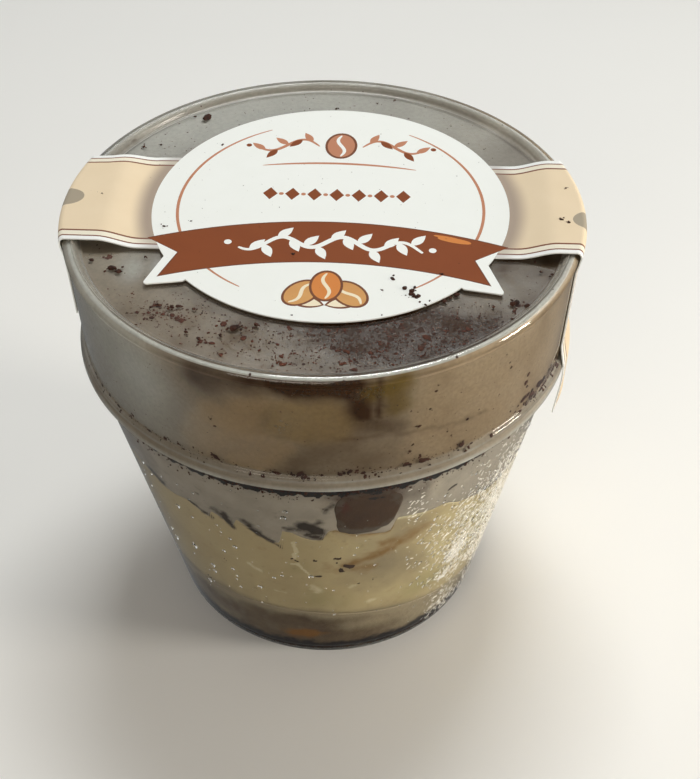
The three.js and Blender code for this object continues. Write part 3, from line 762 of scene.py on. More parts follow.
print_shape(stroke([(x, vine(x)) for x in np.linspace(VINE_START, VINE_END, 110)], 1.15, 0.4), WHITE)
for k, x in enumerate(np.linspace(VINE_START + 2.2, VINE_END - 2.2, 13)):
    up = 1 if k % 2 == 0 else -1
    leaf(x, vine(x), 4.3, 2.0, 58 * up - 8, WHITE)
for x in (VINE_START - 2.2, VINE_END + 1.9):
    print_shape(arc(0.75, 0, 345, 16, x, vine(x) * 0.3 - 9), WHITE)

# above it, a flourish round one bean, with a row of lozenges between
print_shape(stroke([(x, 14.9 - 0.006 * x * x) for x in np.linspace(-15, 17, 50)], 0.7, 0.2), TERRACOTTA)
for side in (-1, 1):
    scroll = [(1 + side * (4.6 + 13.6 * t), 21.2 + 2.7 * math.sin(6.1 * t) * (1 - 0.35 * t)) for t in
              np.linspace(0, 1, 44)]
    print_shape(stroke(scroll, 0.85, 0.3), TERRACOTTA)
    for share, lean in ((0.12, 62), (0.3, -48), (0.5, 42), (0.66, -58), (0.84, 40)):
        x, y = scroll[int(share * 43)]
        turn = lean if side > 0 else 180 - lean
        leaf(x, y, 3.9, 1.6, turn, RIBBON if share in (0.3, 0.66) else TERRACOTTA)
    print_shape(arc(0.6, 0, 345, 14, 1 + side * 19.6, 21.0), RIBBON)
bean(1, 21.6, 8.6, 5.8, 90, TERRACOTTA, BEAN, WHITE)
for k in range(7):
    x = 1 + 4.5 * (k - 3)
    print_shape([(x - 1.5, 3.6), (x, 1.5), (x + 1.5, 3.6), (x, 5.7)], RIBBON)
    if k < 6:
        print_shape(arc(0.5, 0, 340, 12, x + 2.25, 3.6), TERRACOTTA)

# under it, three beans on two leaves
for turn in (164, 16):
    leaf(0.6, -31.0, 8.4, 3.6, turn, BEAN)
    leaf(0.6 + 0.5 * math.cos(math.radians(turn)), -30.9, 7.2, 2.5, turn, CREAM_INK)
for x, y, length, width, turn, body in ((-3.9, -27.6, 7.6, 5.2, 52, BISCUIT),
                                        (5.1, -27.6, 7.6, 5.2, 128, BISCUIT),
                                        (0.6, -25.4, 8.0, 5.4, 90, ORANGE)):
    bean(x, y, length, width, turn, body, BEAN, CREAM_INK)

flat, _, faces, _, _, covers = delaunay_2d_cdt(corners, creases, shapes, 1, 1e-4)
flat = np.array(flat)
kept = [(face, prints[max(over)]) for face, over in zip(faces, covers) if over]
used = sorted({point for face, _ in kept for point in face})
renamed = {point: k for k, point in enumerate(used)}
flat = flat[used]
under, out = paper_surface(flat)
count = len(used)
sheet_faces, sheet_inks, open_edges = [], [], {}
for face, ink_index in kept:
    loop = [renamed[point] for point in face]
    a, b, c = (flat[k] for k in loop[:3])
    if (b[0] - a[0]) * (c[1] - a[1]) < (c[0] - a[0]) * (b[1] - a[1]):
        loop.reverse()
    sheet_faces += [[k + count for k in loop], loop[::-1]]
    sheet_inks += [ink_index, BACKING]
    for here, there in zip(loop, loop[1:] + loop[:1]):
        if open_edges.pop((there, here), None) is None:
            open_edges[(here, there)] = True
for here, there in open_edges:
    sheet_faces.append([here, there, there + count, here + count])
    sheet_inks.append(WHITE)
sticker = mesh_object("paper_sticker", np.vstack([under, under + PAPER * out]), sheet_faces)
for made in inks:
    sticker.data.materials.append(made)
sticker.data.polygons.foreach_set("material_index", sheet_inks)
rim = {frozenset((a + up, b + up)) for a, b in open_edges for up in (0, count)}
sharp = sticker.data.attributes.new("sharp_edge", "BOOLEAN", "EDGE")
sharp.data.foreach_set("value", [frozenset(edge.vertices) in rim for edge in sticker.data.edges])
settle(sticker, "paper", "sticker")


# ==== base sponge ====
# The lowest layer: sponge soaked in coffee syrup, pressed flat on the cup's floor by the cream. It
# stands highest at the front left, with one orange-brown patch, and painted shade darkens its foot.

REACH = 0.15                      # how far food presses into the wall, so that no air shows there
ROUND = 720
TURNS = np.linspace(-180, 180, ROUND, endpoint=False)    # degrees, 0 in front, growing to the right
SIDE_LEAN = 20
BASE_TOP_Z = 13.3


def base_top(x, y):
    """The sponge's top: highest at the front left, with the cream pressed into it elsewhere."""
    turn = np.arctan2(x, -y) + math.radians(SIDE_LEAN)
    edge = np.hypot(x, y) / FOOT_RADIUS
    return BASE_TOP_Z + edge * (3.5 * np.cos(turn) + 1.8 * np.cos(2 * turn))


def roughness_at(points, size, seed=0.0):
    """Smooth noise from -1 to 1 at points in millimetres, with features about size across."""
    shift = Vector((seed, -seed, 2 * seed))
    return np.array([noise.noise(Vector(point) / size + shift) for point in points])


def round_at(turn, radius, z):
    """Points at degrees round the cup, a distance from its middle line, and a height."""
    turn = np.radians(turn)
    return np.column_stack([radius * np.sin(turn), -radius * np.cos(turn), z + 0 * turn])


def round_the_cup(surface, share):
    """Points of a surface all the way round, at a share of the food's radius there."""
    sin, cos = np.sin(np.radians(TURNS)), np.cos(np.radians(TURNS))
    radius = np.full(ROUND, 45.0 * share)
    for _ in range(6):                # radius and height each follow from the other
        z = surface(radius * sin, -radius * cos)
        radius = share * (inner_radius(z) + REACH)
    return round_at(TURNS, radius, z)


def stitched(name, material, rings, ends=(), flipped=False):
    """A skin over rings of points, closed by a point at each end, or run round into itself."""
    steps = len(rings[0])
    count = len(rings)
    last = (count - 1) * steps
    faces = []
    for k in range(steps):
        after = (k + 1) % steps
        if len(ends):
            faces.append([count * steps, after, k])
        for ring in range(count - 1 if len(ends) else count):
            here, there = ring * steps, (ring + 1) % count * steps
            faces.append([here + k, here + after, there + after, there + k])
        if len(ends):
            faces.append([last + k, last + after, count * steps + 1])
    if flipped:
        faces = [face[:1] + face[:0:-1] for face in faces]
    made = mesh_object(name, np.vstack(list(rings) + list(ends)), faces)
    made.data.materials.append(material)
    return made


def food_layer(name, material, low, high, rows, dents=None, top_rings=6):
    """A layer right through the cup between two surfaces. Its side follows the wall, less dents."""
    foot, head = round_the_cup(low, 1.0), round_the_cup(high, 1.0)
    rings = [round_the_cup(low, share) for share in (0.3, 0.7)]
    for part in np.linspace(0, 1, rows):
        z = foot[:, 2] + (head[:, 2] - foot[:, 2]) * part
        radius = inner_radius(z) + REACH
        if dents is not None:
            radius = radius - dents(TURNS, z)
        rings.append(round_at(TURNS, radius, z))
    rings += [round_the_cup(high, 1 - k / top_rings) for k in range(1, top_rings)]
    middle = np.zeros(1)
    return stitched(name, material, rings,
                    [(0, 0, surface(middle, middle)[0]) for surface in (low, high)])


def pores(turn, z, size, depth, seed):
    """Dents where the crumb of a sponge doesn't touch the wall."""
    radius = inner_radius(z)
    points = np.column_stack([radius * np.sin(np.radians(turn)), radius * np.cos(np.radians(turn)), z])
    return depth * np.clip(roughness_at(points, size, seed) - 0.05, 0, 1)


def food_tone(tree, first, second, across, detail=6.0):
    """A mottled mix of two colours, in blotches about as many millimetres across as given."""
    place = node(tree, "ShaderNodeTexCoord").outputs["Object"]
    blotch = node(tree, "ShaderNodeTexNoise", {"Vector": place, "Scale": 1000 / across, "Detail": detail,
                                               "Roughness": 0.6}).outputs["Fac"]
    spread = node(tree, "ShaderNodeMapRange", {"Value": blotch, "From Min": 0.32, "From Max": 0.68})
    return node(tree, "ShaderNodeMix", {"Factor": spread.outputs[0], COLOUR_A: linear(first),
                                        COLOUR_B: linear(second)}, data_type="RGBA").outputs[MIXED]


def stained(tree, tone, attribute, colour, across=3.0, hard=0.35):
    """Lays a colour over a tone where an attribute is painted, with a ragged edge."""
    place = node(tree, "ShaderNodeTexCoord").outputs["Object"]
    amount = node(tree, "ShaderNodeAttribute", attribute_name=attribute).outputs["Fac"]
    ragged = node(tree, "ShaderNodeTexNoise", {"Vector": place, "Scale": 1000 / across, "Detail": 5.0})
    both = node(tree, "ShaderNodeMath", {0: amount, 1: ragged.outputs["Fac"]}).outputs[0]
    level = node(tree, "ShaderNodeMapRange", {"Value": both, "From Min": 0.62 + 0.3 * hard,
                                              "From Max": 1.25 - 0.3 * hard}).outputs[0]
    return node(tree, "ShaderNodeMix", {"Factor": level, COLOUR_A: tone, COLOUR_B: linear(colour)},
                data_type="RGBA").outputs[MIXED]


def food_material(tone, tree, grain, height, gloss, wet=0.0):
    """Finishes a food material: fine relief of a given grain in millimetres, and a wet film."""
    place = node(tree, "ShaderNodeTexCoord").outputs["Object"]
    fine = node(tree, "ShaderNodeTexNoise", {"Vector": place, "Scale": 1000 / grain, "Detail": 4.0})
    relief = node(tree, "ShaderNodeBump", {"Height": fine.outputs["Fac"], "Strength": 0.6,
                                           "Distance": height * MM})
    surface = node(tree, "ShaderNodeBsdfPrincipled", {
        "Base Color": tone, "Roughness": gloss, "IOR": 1.42, "Coat Weight": wet, "Coat Roughness": 0.12,
        "Normal": relief.outputs[0]})
    node(tree, "ShaderNodeOutputMaterial", {"Surface": surface.outputs[0]})


# Sponge soaked through with coffee: open crumb of 1 to 2 mm, wet against the plastic.
soaked_base, tree = new_material("syrup-soaked sponge")
tone = food_tone(tree, "#59462f", "#705f45", 7.0)
# the foot stain is painted shade: the sponge darkens towards the cup's floor
for stain in (("amber", "#865a1c", 4.0), ("grey", "#978a70", 5.0, 0.0), ("foot", "#231913", 2.0)):
    tone = stained(tree, tone, *stain)
food_material(tone, tree, 0.9, 0.25, 0.5, 0.2)

base_sponge = food_layer("soaked_base_sponge", soaked_base, lambda x, y: np.full_like(x, FLOOR_Z + 0.02),
                         base_top, 20, lambda turn, z: pores(turn, z, 1.7, 0.12, 3.0))
x, y, z, turn = points_of(base_sponge)
under_cream = base_top(x, y) - z
paint(base_sponge, "amber", soft_spots(turn, z, [(-5, 8.8, 5, 1.8, 0.8), (-11, 7.8, 6, 1.6, 0.5)]))
paint(base_sponge, "grey", soft_spots(turn, z, [(14, 12, 13, 3, 0.5), (38, 9, 16, 5, 0.9)])
      + 0.95 * np.exp(-(under_cream / 2.4) ** 2) + 0.3 * np.exp(-((turn + 40) / 20) ** 2))
# painted shade, darkest at the bottom and a little more at the left
paint(base_sponge, "foot", 0.95 * np.exp(-(z / 5.2) ** 4) + 0.2 * np.exp(-((turn + 66) / 20) ** 2))
settle(base_sponge, "sponge", "base_sponge")


# ==== cream ====
# Whipped cream cheese, spooned in and pressed smooth against the wall: the tallest layer. Its top
# edge is ragged where the spoon dragged it up, and coffee has run into it in places.

CREAM_TOP_Z = 50.4
# how the top edge runs, in degrees round the cup and height: the spoon dragged it down to the right
# into hooked teeth in front, and it climbs where it was pushed up beside the soaked sponge
EDGE = [(-180, 52.5), (-171, 49.0), (-170, 52.6), (-150, 48.8), (-149, 52.8), (-131, 48.6),
        (-129, 52.0), (-112, 50.4), (-96, 53.2), (-80, 49.2), (-78, 52.6), (-60, 53.0), (-50, 52.0),
        (-44.5, 50.3), (-36, 51.1), (-30.4, 48.8), (-29.0, 51.2), (-26.4, 50.3), (-23.5, 48.4),
        (-21.8, 52.0), (-19.5, 50.4), (-17.4, 48.0), (-14.9, 46.8), (-11.3, 45.4), (-10.0, 51.0),
        (-8, 50.6), (-5.6, 49.4), (-2.7, 48.6), (-0.2, 48.6), (1.3, 51.6), (3.2, 52.0), (5.4, 51.3),
        (9.1, 50.0), (13, 49.3), (15.5, 49.3), (17.2, 50.0), (18.2, 53.9), (21.6, 53.0), (27, 52.9),
        (32.9, 52.2), (40.3, 49.4), (46.9, 47.4), (54, 45.6), (66, 46.2), (82, 47.5), (84, 50.4),
        (98, 53.0), (112, 48.5), (114, 51.6), (132, 52.4), (150, 53.0), (164, 50.2), (180, 52.5)]
EDGE_TURNS, EDGE_HEIGHTS = np.array(EDGE).T


def cream_line(turn):
    """Height of the cream's top edge on the wall."""
    return np.interp(turn, EDGE_TURNS, EDGE_HEIGHTS) + 0.25 * np.sin(np.radians(37 * turn))


def cream_top(x, y):
    """The cream's top: nearly level inside, and ragged where it meets the wall."""
    edge = np.clip(np.hypot(x, y) / 44.0, 0, 1)
    turn = np.degrees(np.arctan2(x, -y))
    return (CREAM_TOP_Z - 2.0 * (1 - edge)) * (1 - edge ** 14) + cream_line(turn) * edge ** 14


# Cream: pale yellow, dense and smooth, with a satin wet face where it touches the plastic.
pressed_cream, tree = new_material("pressed cream")
tone = food_tone(tree, "#b1a079", "#b8a983", 14.0)
# the lightest of these stains is painted light, and the dark one drawn in the hollows painted shade
for stain in (("painted_light", "#c2b48c", 12.0, 0.0), ("grey", "#80745f", 9.0, 0.0),
              ("green", "#97905e", 10.0, 0.0), ("pale", "#cdc2a0", 1.4), ("coffee", "#86683a", 2.6, 0.0),
              ("gap_shade", "#3d3022", 1.6, 0.0), ("fleck", "#35200f", 0.9, 0.9)):
    tone = stained(tree, tone, *stain)
food_material(tone, tree, 2.6, 0.12, 0.38, 0.35)

cream = food_layer("pressed_cream", pressed_cream, base_top, cream_top, 64,
                   lambda turn, z: pores(turn, z, 5.0, 0.10, 8.0))
x, y, z, turn = points_of(cream)
under_edge = cream_line(turn) - z
over_base = z - base_top(x, y)
# painted shade in the hollows along the ragged edge, drawn over the cream and the layer above it
HOLLOWS = [
    (-50, 53.2, -45, 51.2, 0.9, 0.7), (-36, 51.4, -31.5, 49.5, 0.4, 0.9), (-32, 49.6, -29.6, 49.0, 0.6, 0.9),
    (-28, 53.1, -24.9, 50.6, 0.9, 0.55), (-25.3, 52.0, -23.6, 48.7, 0.9, 0.95),
    (-20.0, 52.0, -16.2, 48.4, 1.0, 0.75), (-18, 49.4, -13, 46.4, 0.8, 1.0),
    (-13, 46.2, -11.0, 45.2, 0.45, 0.8), (-9.0, 52.4, -5.0, 52.2, 0.9, 0.7),
    (-4.6, 53.4, -1.4, 51.6, 1.6, 1.2), (-3.4, 53.0, -0.6, 55.2, 1.0, 0.6),
    (-3.8, 50.4, -0.2, 49.0, 0.6, 0.9), (43.5, 50.2, 50, 47.6, 0.5, 0.7)]
paint(cream, "gap_shade", soft_strokes(turn, z, HOLLOWS))
# painted light: the cream is lighter where the window lights its right side, and at its far left edge
paint(cream, "painted_light", soft_spots(turn, z, [
    (34, 42, 9, 12, 0.4), (46, 34, 14, 16, 0.8), (64, 34, 9, 16, 0.8), (-64, 36, 9, 18, 0.55)]))
paint(cream, "grey", 0.35 * (1 - right_of(turn, -50, 7)) + 0.35 * np.exp(-(over_base / 1.6) ** 2)
      + soft_spots(turn, z, [(18, 38, 15, 18, 0.42)]))
paint(cream, "green", soft_spots(turn, z, [
    (0, 25, 14, 5, 0.35), (30, 22, 12, 6, 0.35), (52, 36, 8, 8, 0.5)]))
paint(cream, "pale", soft_strokes(turn, z, [
    (-7.3, 46.8, -7.5, 41.4, 0.5, 1.1), (-8.8, 38.3, -7.2, 38.9, 0.4, 1.0),
    (-7.2, 38.6, -5.2, 36.5, 0.45, 1.0), (-5, 36.5, -3.9, 34.2, 0.3, 0.95),
    (-3.2, 29.3, -2.2, 28.3, 1.3, 0.7), (-21.4, 35.2, -18.4, 33.4, 0.7, 0.7),
    (14.1, 22.1, 15.0, 22.1, 1.1, 0.6), (8.0, 29.5, 8.6, 29.5, 0.8, 0.55), (18.3, 53.6, 26, 52.6, 1.0, 0.7),
    (-15, 26.4, -12, 26.0, 0.4, 0.5)]))
paint(cream, "coffee", soft_strokes(turn, z, [
    (5.8, 38.3, 18.4, 42.4, 1.3, 0.8), (13.5, 41.2, 24, 45.2, 1.8, 0.6), (8, 36.8, 14, 36.2, 1.4, 0.55),
    (16, 44.6, 18, 45.2, 1.8, 0.6), (22, 46, 28, 47.5, 1.6, 0.5), (0, 37.5, 6, 36.5, 1.6, 0.4)])
    + 0.55 * np.exp(-(under_edge / 1.1) ** 2) * (np.abs(turn - 10) < 8))
paint(cream, "fleck", soft_strokes(turn, z, [
    (2.6, 41.6, 4.1, 41.4, 0.32, 1.2), (6.2, 38.4, 7.9, 37.8, 0.55, 1.5), (4.3, 36.8, 4.6, 35.8, 0.45, 1.5),
    (-2.4, 34.4, -0.8, 34.3, 0.38, 1.1), (-2.2, 40.5, -1.8, 40.3, 0.3, 1.1),
    (-8.6, 41.0, -7.1, 40.0, 0.25, 1.2), (-29.9, 33.0, -29.3, 32.8, 0.25, 1.1),
    (-41, 20.0, -39.8, 19.1, 0.4, 0.9), (3.5, 40.0, 4.0, 39.6, 0.25, 1.0), (9.5, 30.4, 9.8, 30.2, 0.25, 0.9),
    (14, 31.5, 14.3, 31.3, 0.22, 0.9)]))
settle(cream, "cream", "cream_layer")


# ==== coffee layer ====
# Coffee-soaked sponge crumbs stirred with a little cream. Against the wall it shows grey, since the
# plastic is clouded there, with painted shade in the gaps where the cream's ragged edge hangs over it.

COFFEE_TOP_Z = 65.6


def coffee_top(x, y):
    """The coffee layer's top, in low waves round the wall."""
    edge = np.hypot(x, y) / CONE_TOP_RADIUS
    return COFFEE_TOP_Z + 0.8 * edge * np.sin(4 * np.arctan2(x, -y) + 1.1) - 1.0 * (1 - edge)


# Soaked crumb behind clouded plastic: a soft grey veil over dark brown.
veiled_sponge, tree = new_material("coffee sponge behind clouded plastic")
tone = food_tone(tree, "#928a7d", "#a89f91", 9.0, 4.0)
# the darkest two are painted shade: in the hollows, and under the lid's skirt, where powder is packed too
for stain in (("bare", "#4b382b", 6.0, 0.0), ("smear", "#a99f8f", 4.0, 0.1),
              ("gap_shade", "#302418", 1.6, 0.0), ("powder_and_shade", "#0e0805", 0.9, 0.6)):
    tone = stained(tree, tone, *stain)
food_material(tone, tree, 1.1, 0.12, 0.55, 0.25)

coffee = food_layer("coffee_layer_crumb", veiled_sponge, cream_top, coffee_top, 30,
                    lambda turn, z: pores(turn, z, 2.2, 0.12, 5.0))
x, y, z, turn = points_of(coffee)
marks = [(31.6, 57.4, 33.2, 58.0, 0.25, 1.3), (1.0, 59.0, 2.2, 61.5, 0.7, 0.6),
         (-32, 56.4, -31.4, 56.2, 0.3, 0.9)]
# painted shade in the same hollows as the cream's, with three more dark marks
paint(coffee, "gap_shade", soft_strokes(turn, z, HOLLOWS + marks))
# the powder packed under the lid's skirt, outside, and its shade are painted on it as a dark line
PACKED_Z = 64.3
ragged = 0.4 * np.sin(np.radians(52 * turn)) + 0.3 * np.sin(np.radians(131 * turn))
packed_powder_and_shade = 1.3 * (1 - 0.85 * right_of(turn, 36, 4)) / (1 + np.exp((PACKED_Z - z + ragged) / 0.1))
paint(coffee, "powder_and_shade", packed_powder_and_shade)
paint(coffee, "bare", soft_spots(turn, z, [
    (11, 64, 12, 4.5, 0.75), (23, 59, 6, 4, 0.2), (-62, 60, 22, 9, 0.3)]))
paint(coffee, "smear", soft_spots(turn, z, [
    (-1, 55, 5, 2.2, 0.55), (0.5, 61.5, 3.0, 2.2, 0.35), (27.5, 60.5, 1.8, 3.8, 0.85), (38, 58, 9, 4, 0.25),
    (-38, 60, 10, 5, 0.4), (-9, 62, 8, 1.6, 0.4), (50, 56, 8, 6, 0.25)]))
settle(coffee, "coffee_sponge", "coffee_layer")


# ==== soaked sponge piece ====
# A piece of sponge finger that took up coffee and was pushed against the wall: dark brown, with
# rounded corners, flat where it touches the plastic.

FINGER_TURN = 10.6
FINGER_MIDDLE_Z = 57.4
FINGER_HALF_WIDTH = 6.2
FINGER_HALF_HEIGHT = 6.9
FINGER_DEPTH = 12
FINGER_RADIUS = 46.0              # of the wall where it lies
FINGER_PRESS = REACH + 0.06       # it stands a little further into the wall than the layer behind it

soaked_finger, tree = new_material("coffee-soaked sponge finger")
tone = food_tone(tree, "#3d2813", "#483019", 5.0)
# the darkest stain is painted shade
for stain in (("rust", "#4c210c", 2.0), ("grey", "#564d42", 2.4), ("gap_shade", "#0e0a08", 1.0, 0.6)):
    tone = stained(tree, tone, *stain)
food_material(tone, tree, 0.8, 0.10, 0.5, 0.3)

around = np.radians(np.arange(0, 360, 4))
outline = np.column_stack([np.sign(np.cos(around)) * np.abs(np.cos(around)) ** 0.55,
                           np.sign(np.sin(around)) * np.abs(np.sin(around)) ** 0.62])
outline[:, 0] += 0.10 * outline[:, 1] * (outline[:, 0] > 0)
wobble = 1 + 0.035 * np.sin(3 * around + 1) + 0.022 * np.sin(7 * around) + 0.012 * np.sin(13 * around)
outline *= wobble[:, None]
# the flat face spreads from its middle to its rounded rim; from there the piece runs into the cup
steps = [(0.12 * k, 0) for k in range(1, 9)]
steps += [(1.0, 0.06), (1.03, 0.35), (1.0, 1.5), (0.95, FINGER_DEPTH), (0.5, FINGER_DEPTH)]
rings = []
for scale, depth in steps:
    z = FINGER_MIDDLE_Z + outline[:, 1] * scale * FINGER_HALF_HEIGHT
    turn = FINGER_TURN + np.degrees(outline[:, 0] * scale * FINGER_HALF_WIDTH / FINGER_RADIUS)
    rings.append(round_at(turn, inner_radius(z) + FINGER_PRESS - depth, z))
front = inner_radius(FINGER_MIDDLE_Z) + FINGER_PRESS
ends = [round_at(FINGER_TURN, reach, FINGER_MIDDLE_Z)[0] for reach in (front, front - FINGER_DEPTH)]
finger = stitched("soaked_sponge_finger", soaked_finger, rings, ends, flipped=True)
x, y, z, turn = points_of(finger)
from_rim = 1 - np.hypot((turn - FINGER_TURN) / 7.7, (z - FINGER_MIDDLE_Z) / FINGER_HALF_HEIGHT)
paint(finger, "rust", soft_spots(turn, z, [(5.4, 60.0, 1.5, 2.2, 0.65)]))
paint(finger, "grey", 0.5 * np.exp(-((z - 50.8) / 1.8) ** 2)
      + 0.35 * np.exp(-(np.maximum(from_rim, 0) / 0.16) ** 2))
# painted shade: two dark lines near its top
paint(finger, "gap_shade", soft_strokes(turn, z, [
    (11.8, 62.2, 14.4, 61.9, 0.3, 1.4), (11.0, 64.2, 15.0, 64.4, 0.5, 1.0)]))
settle(finger, "soaked_sponge", "soaked_sponge")


# ==== dusted top ====
# The last layer: cocoa powder sieved over cream. It has drawn moisture and clumped, and its clumps
# die out at the wall, where the plastic holds it level.

DUSTED_TOP_Z = 71.6


def dusted_top(x, y):
    """The dusted top without its clumps: a low swell and a few bumps."""
    swell = 1.3 * np.cos(np.hypot(x - 4, y - 6) * 0.055)
    bumps = 0.55 * np.sin(x * 0.31 + 0.8) * np.cos(y * 0.27) + 0.35 * np.sin(x * 0.17 - y * 0.43)
    return DUSTED_TOP_Z + swell + bumps


def clumped_top(x, y):
    """The dusted top with its clumps."""
    flat = np.column_stack([x, y, np.zeros_like(x)])
    clump = 0.7 * roughness_at(flat, 4.2, 1.0) + 0.45 * np.abs(roughness_at(flat, 1.6, 2.0))
    return dusted_top(x, y) + clump * np.clip((46.8 - np.hypot(x, y)) / 3, 0, 1)


# Cocoa powder on moist cream: dark, dull, grainy, redder where it is dry.
cocoa_dust, tree = new_material("moist cocoa dust")
tone = food_tone(tree, "#2a1d17", "#46301f", 4.0)
for stain in (("cream", "#9a8863", 3.0), ("veil", "#7d7468", 7.0, 0.0)):
    tone = stained(tree, tone, *stain)
food_material(tone, tree, 0.7, 0.5, 0.85)

top = food_layer("dusted_top_crumb", cocoa_dust, coffee_top, clumped_top, 12, top_rings=60)
x, y, z, turn = points_of(top)
paint(top, "cream", soft_spots(x, y, [
    (-12, -8, math.sqrt(90), math.sqrt(90), 0.45), (22, 4, math.sqrt(120), math.sqrt(120), 0.4)]))
paint(top, "veil", 0.75 * (np.hypot(x, y) > 46.0))
settle(top, "cocoa", "dusted_top")


# ==== lumps of cream ====
# Spoonfuls of cream and biscuit that stand on the dusted top behind the lid's wall. Each is a low
# smooth dome, and the right one has a deep crease.

# name, place, length, width, height, turn in degrees, depth of its crease, and how olive it is
LUMPS = [
    ("cream_lump_left", -17.5, -33.5, 15, 12, 6.5, 24, 0.0, 0.15),
    ("cream_lump_middle", -2.5, -36.5, 15, 12, 8.0, 4, 0.0, 0.55),
    ("cream_lump_right", 14.5, -30.5, 17, 15, 10.5, -18, 0.55, 1.0),
]
LUMP_ROOT = 1.0                   # how far each goes down into the cocoa

spooned_cream, tree = new_material("spooned cream with biscuit")
ripeness = node(tree, "ShaderNodeAttribute", attribute_name="ripeness").outputs["Fac"]
tan = food_tone(tree, "#b1905c", "#a58451", 6.0)
olive = food_tone(tree, "#8a7a34", "#776a32", 5.0)
tone = node(tree, "ShaderNodeMix", {"Factor": ripeness, COLOUR_A: tan, COLOUR_B: olive},
            data_type="RGBA").outputs[MIXED]
# painted shade: the crease is darker
tone = stained(tree, tone, "crease", "#4a3c1e", 3.0, 0.1)
food_material(tone, tree, 2.0, 0.2, 0.45, 0.2)

# how wide and how high each ring of a lump is, from its foot to its top
dome = [(0.4, -1), (0.8, -1), (1.0, -1), (1.0, 0.0)]
dome += [(math.cos(a), math.sin(a) ** 0.9) for a in np.linspace(0.12, 1.5, 16)]
around = np.radians(np.arange(0, 360, 3.75))

for name, lump_x, lump_y, length, width, height, lump_turn, cleft, ripe in LUMPS:
    lean = math.radians(lump_turn)
    wobble = 1 + 0.07 * np.sin(3 * around + lump_x) + 0.05 * np.cos(5 * around)
    rings = []
    for scale, lift in dome:
        along = 0.5 * length * scale * wobble * np.cos(around)
        across = 0.5 * width * scale * wobble * np.sin(around)
        px = lump_x + along * math.cos(lean) - across * math.sin(lean)
        py = lump_y + along * math.sin(lean) + across * math.cos(lean)
        groove = 1 - cleft * np.exp(-(along / 1.6) ** 2)
        rise = np.where(lift > 0, lift * height * groove, LUMP_ROOT * lift)
        ring = np.column_stack([px, py, dusted_top(px, py) + rise])
        ring[:, 2] += 0.35 * max(lift, 0) * roughness_at(ring, 4.0, lump_x)
        rings.append(ring)
    lump = stitched(name + "_spoonful", spooned_cream, rings,
                    [rings[0].mean(axis=0), rings[-1].mean(axis=0)])
    x, y, z, turn = points_of(lump)
    flat_along = (x - lump_x) * math.cos(lean) + (y - lump_y) * math.sin(lean)
    paint(lump, "ripeness", ripe)
    # painted shade along the crease
    paint(lump, "crease", cleft * 1.4 * np.exp(-(flat_along / 1.8) ** 2))
    settle(lump, "pale_cream", name)


# ==== cocoa crumbs ====
# Grains and clumps of moist cocoa that spilled while the cup was filled: a few on top of the lid and
# the sticker, many under its panel, in its skirt and against its wall, and a dark line of powder
# packed into the slot between the skirt and the cup's shoulder, which is also painted shade there.

# Geometry Nodes: puts a copy of one shape at each given point, its Z axis along "out", its X axis
# along "along", and scaled by "size" in millimetres.
scattered = bpy.data.node_groups.new("Scattered bits", "GeometryNodeTree")
scattered.interface.new_socket("Places", in_out="INPUT", socket_type="NodeSocketGeometry")
scattered.interface.new_socket("Shape", in_out="INPUT", socket_type="NodeSocketObject")
scattered.interface.new_socket("Material", in_out="INPUT", socket_type="NodeSocketMaterial")
scattered.interface.new_socket("Bits", in_out="OUTPUT", socket_type="NodeSocketGeometry")
given = node(scattered, "NodeGroupInput").outputs
fields = {}
for key in ("out", "along", "size"):
    named = node(scattered, "GeometryNodeInputNamedAttribute", {"Name": key}, data_type="FLOAT_VECTOR")
    fields[key] = named.outputs["Attribute"]
upright = node(scattered, "FunctionNodeAlignRotationToVector", {"Vector": fields["out"]}, axis="Z")
pointed = node(scattered, "FunctionNodeAlignRotationToVector", {
    "Rotation": upright.outputs[0], "Vector": fields["along"]}, axis="X", pivot_axis="Z")
shape = node(scattered, "GeometryNodeObjectInfo", {"Object": given["Shape"]}).outputs["Geometry"]
put = node(scattered, "GeometryNodeInstanceOnPoints", {
    "Points": given["Places"], "Instance": shape, "Rotation": pointed.outputs[0], "Scale": fields["size"]})
real = node(scattered, "GeometryNodeRealizeInstances", {0: put.outputs[0]}).outputs[0]
painted = node(scattered, "GeometryNodeSetMaterial", {"Geometry": real, "Material": given["Material"]})
node(scattered, "NodeGroupOutput", {0: painted.outputs[0]})

chance = np.random.default_rng(23)


def scatter(name, shape, material, places, sizes, outs=None, flatness=1.0, alongs=None):
    """Scatters a shape over places; without given directions each bit lies its own way."""
    places = np.asarray(places, float)
    count = len(places)
    outs = chance.normal(size=(count, 3)) if outs is None else np.asarray(outs, float)
    alongs = chance.normal(size=(count, 3)) if alongs is None else np.asarray(alongs, float)
    sizes = np.asarray(sizes, float)
    if sizes.ndim == 1:
        spread = chance.uniform(0.75, 1.3, (count, 2))
        sizes = np.column_stack([sizes * spread[:, 0], sizes * spread[:, 1], sizes * flatness])
    return grow(name, places, scattered, {"Shape": shape, "Material": material},
                {"out": outs, "along": alongs, "size": sizes})


def round_wall(turn, radius, z):
    """Points on a round wall, and the directions straight out from it."""
    return round_at(turn, radius, z), round_at(turn, 1.0, 0.0)


def strewn(across, up, small, spread, power):
    """Bits at drawn places, each with a size; the higher the power, the more are small."""
    return np.column_stack([across, up, small + spread * chance.random(len(across)) ** power])


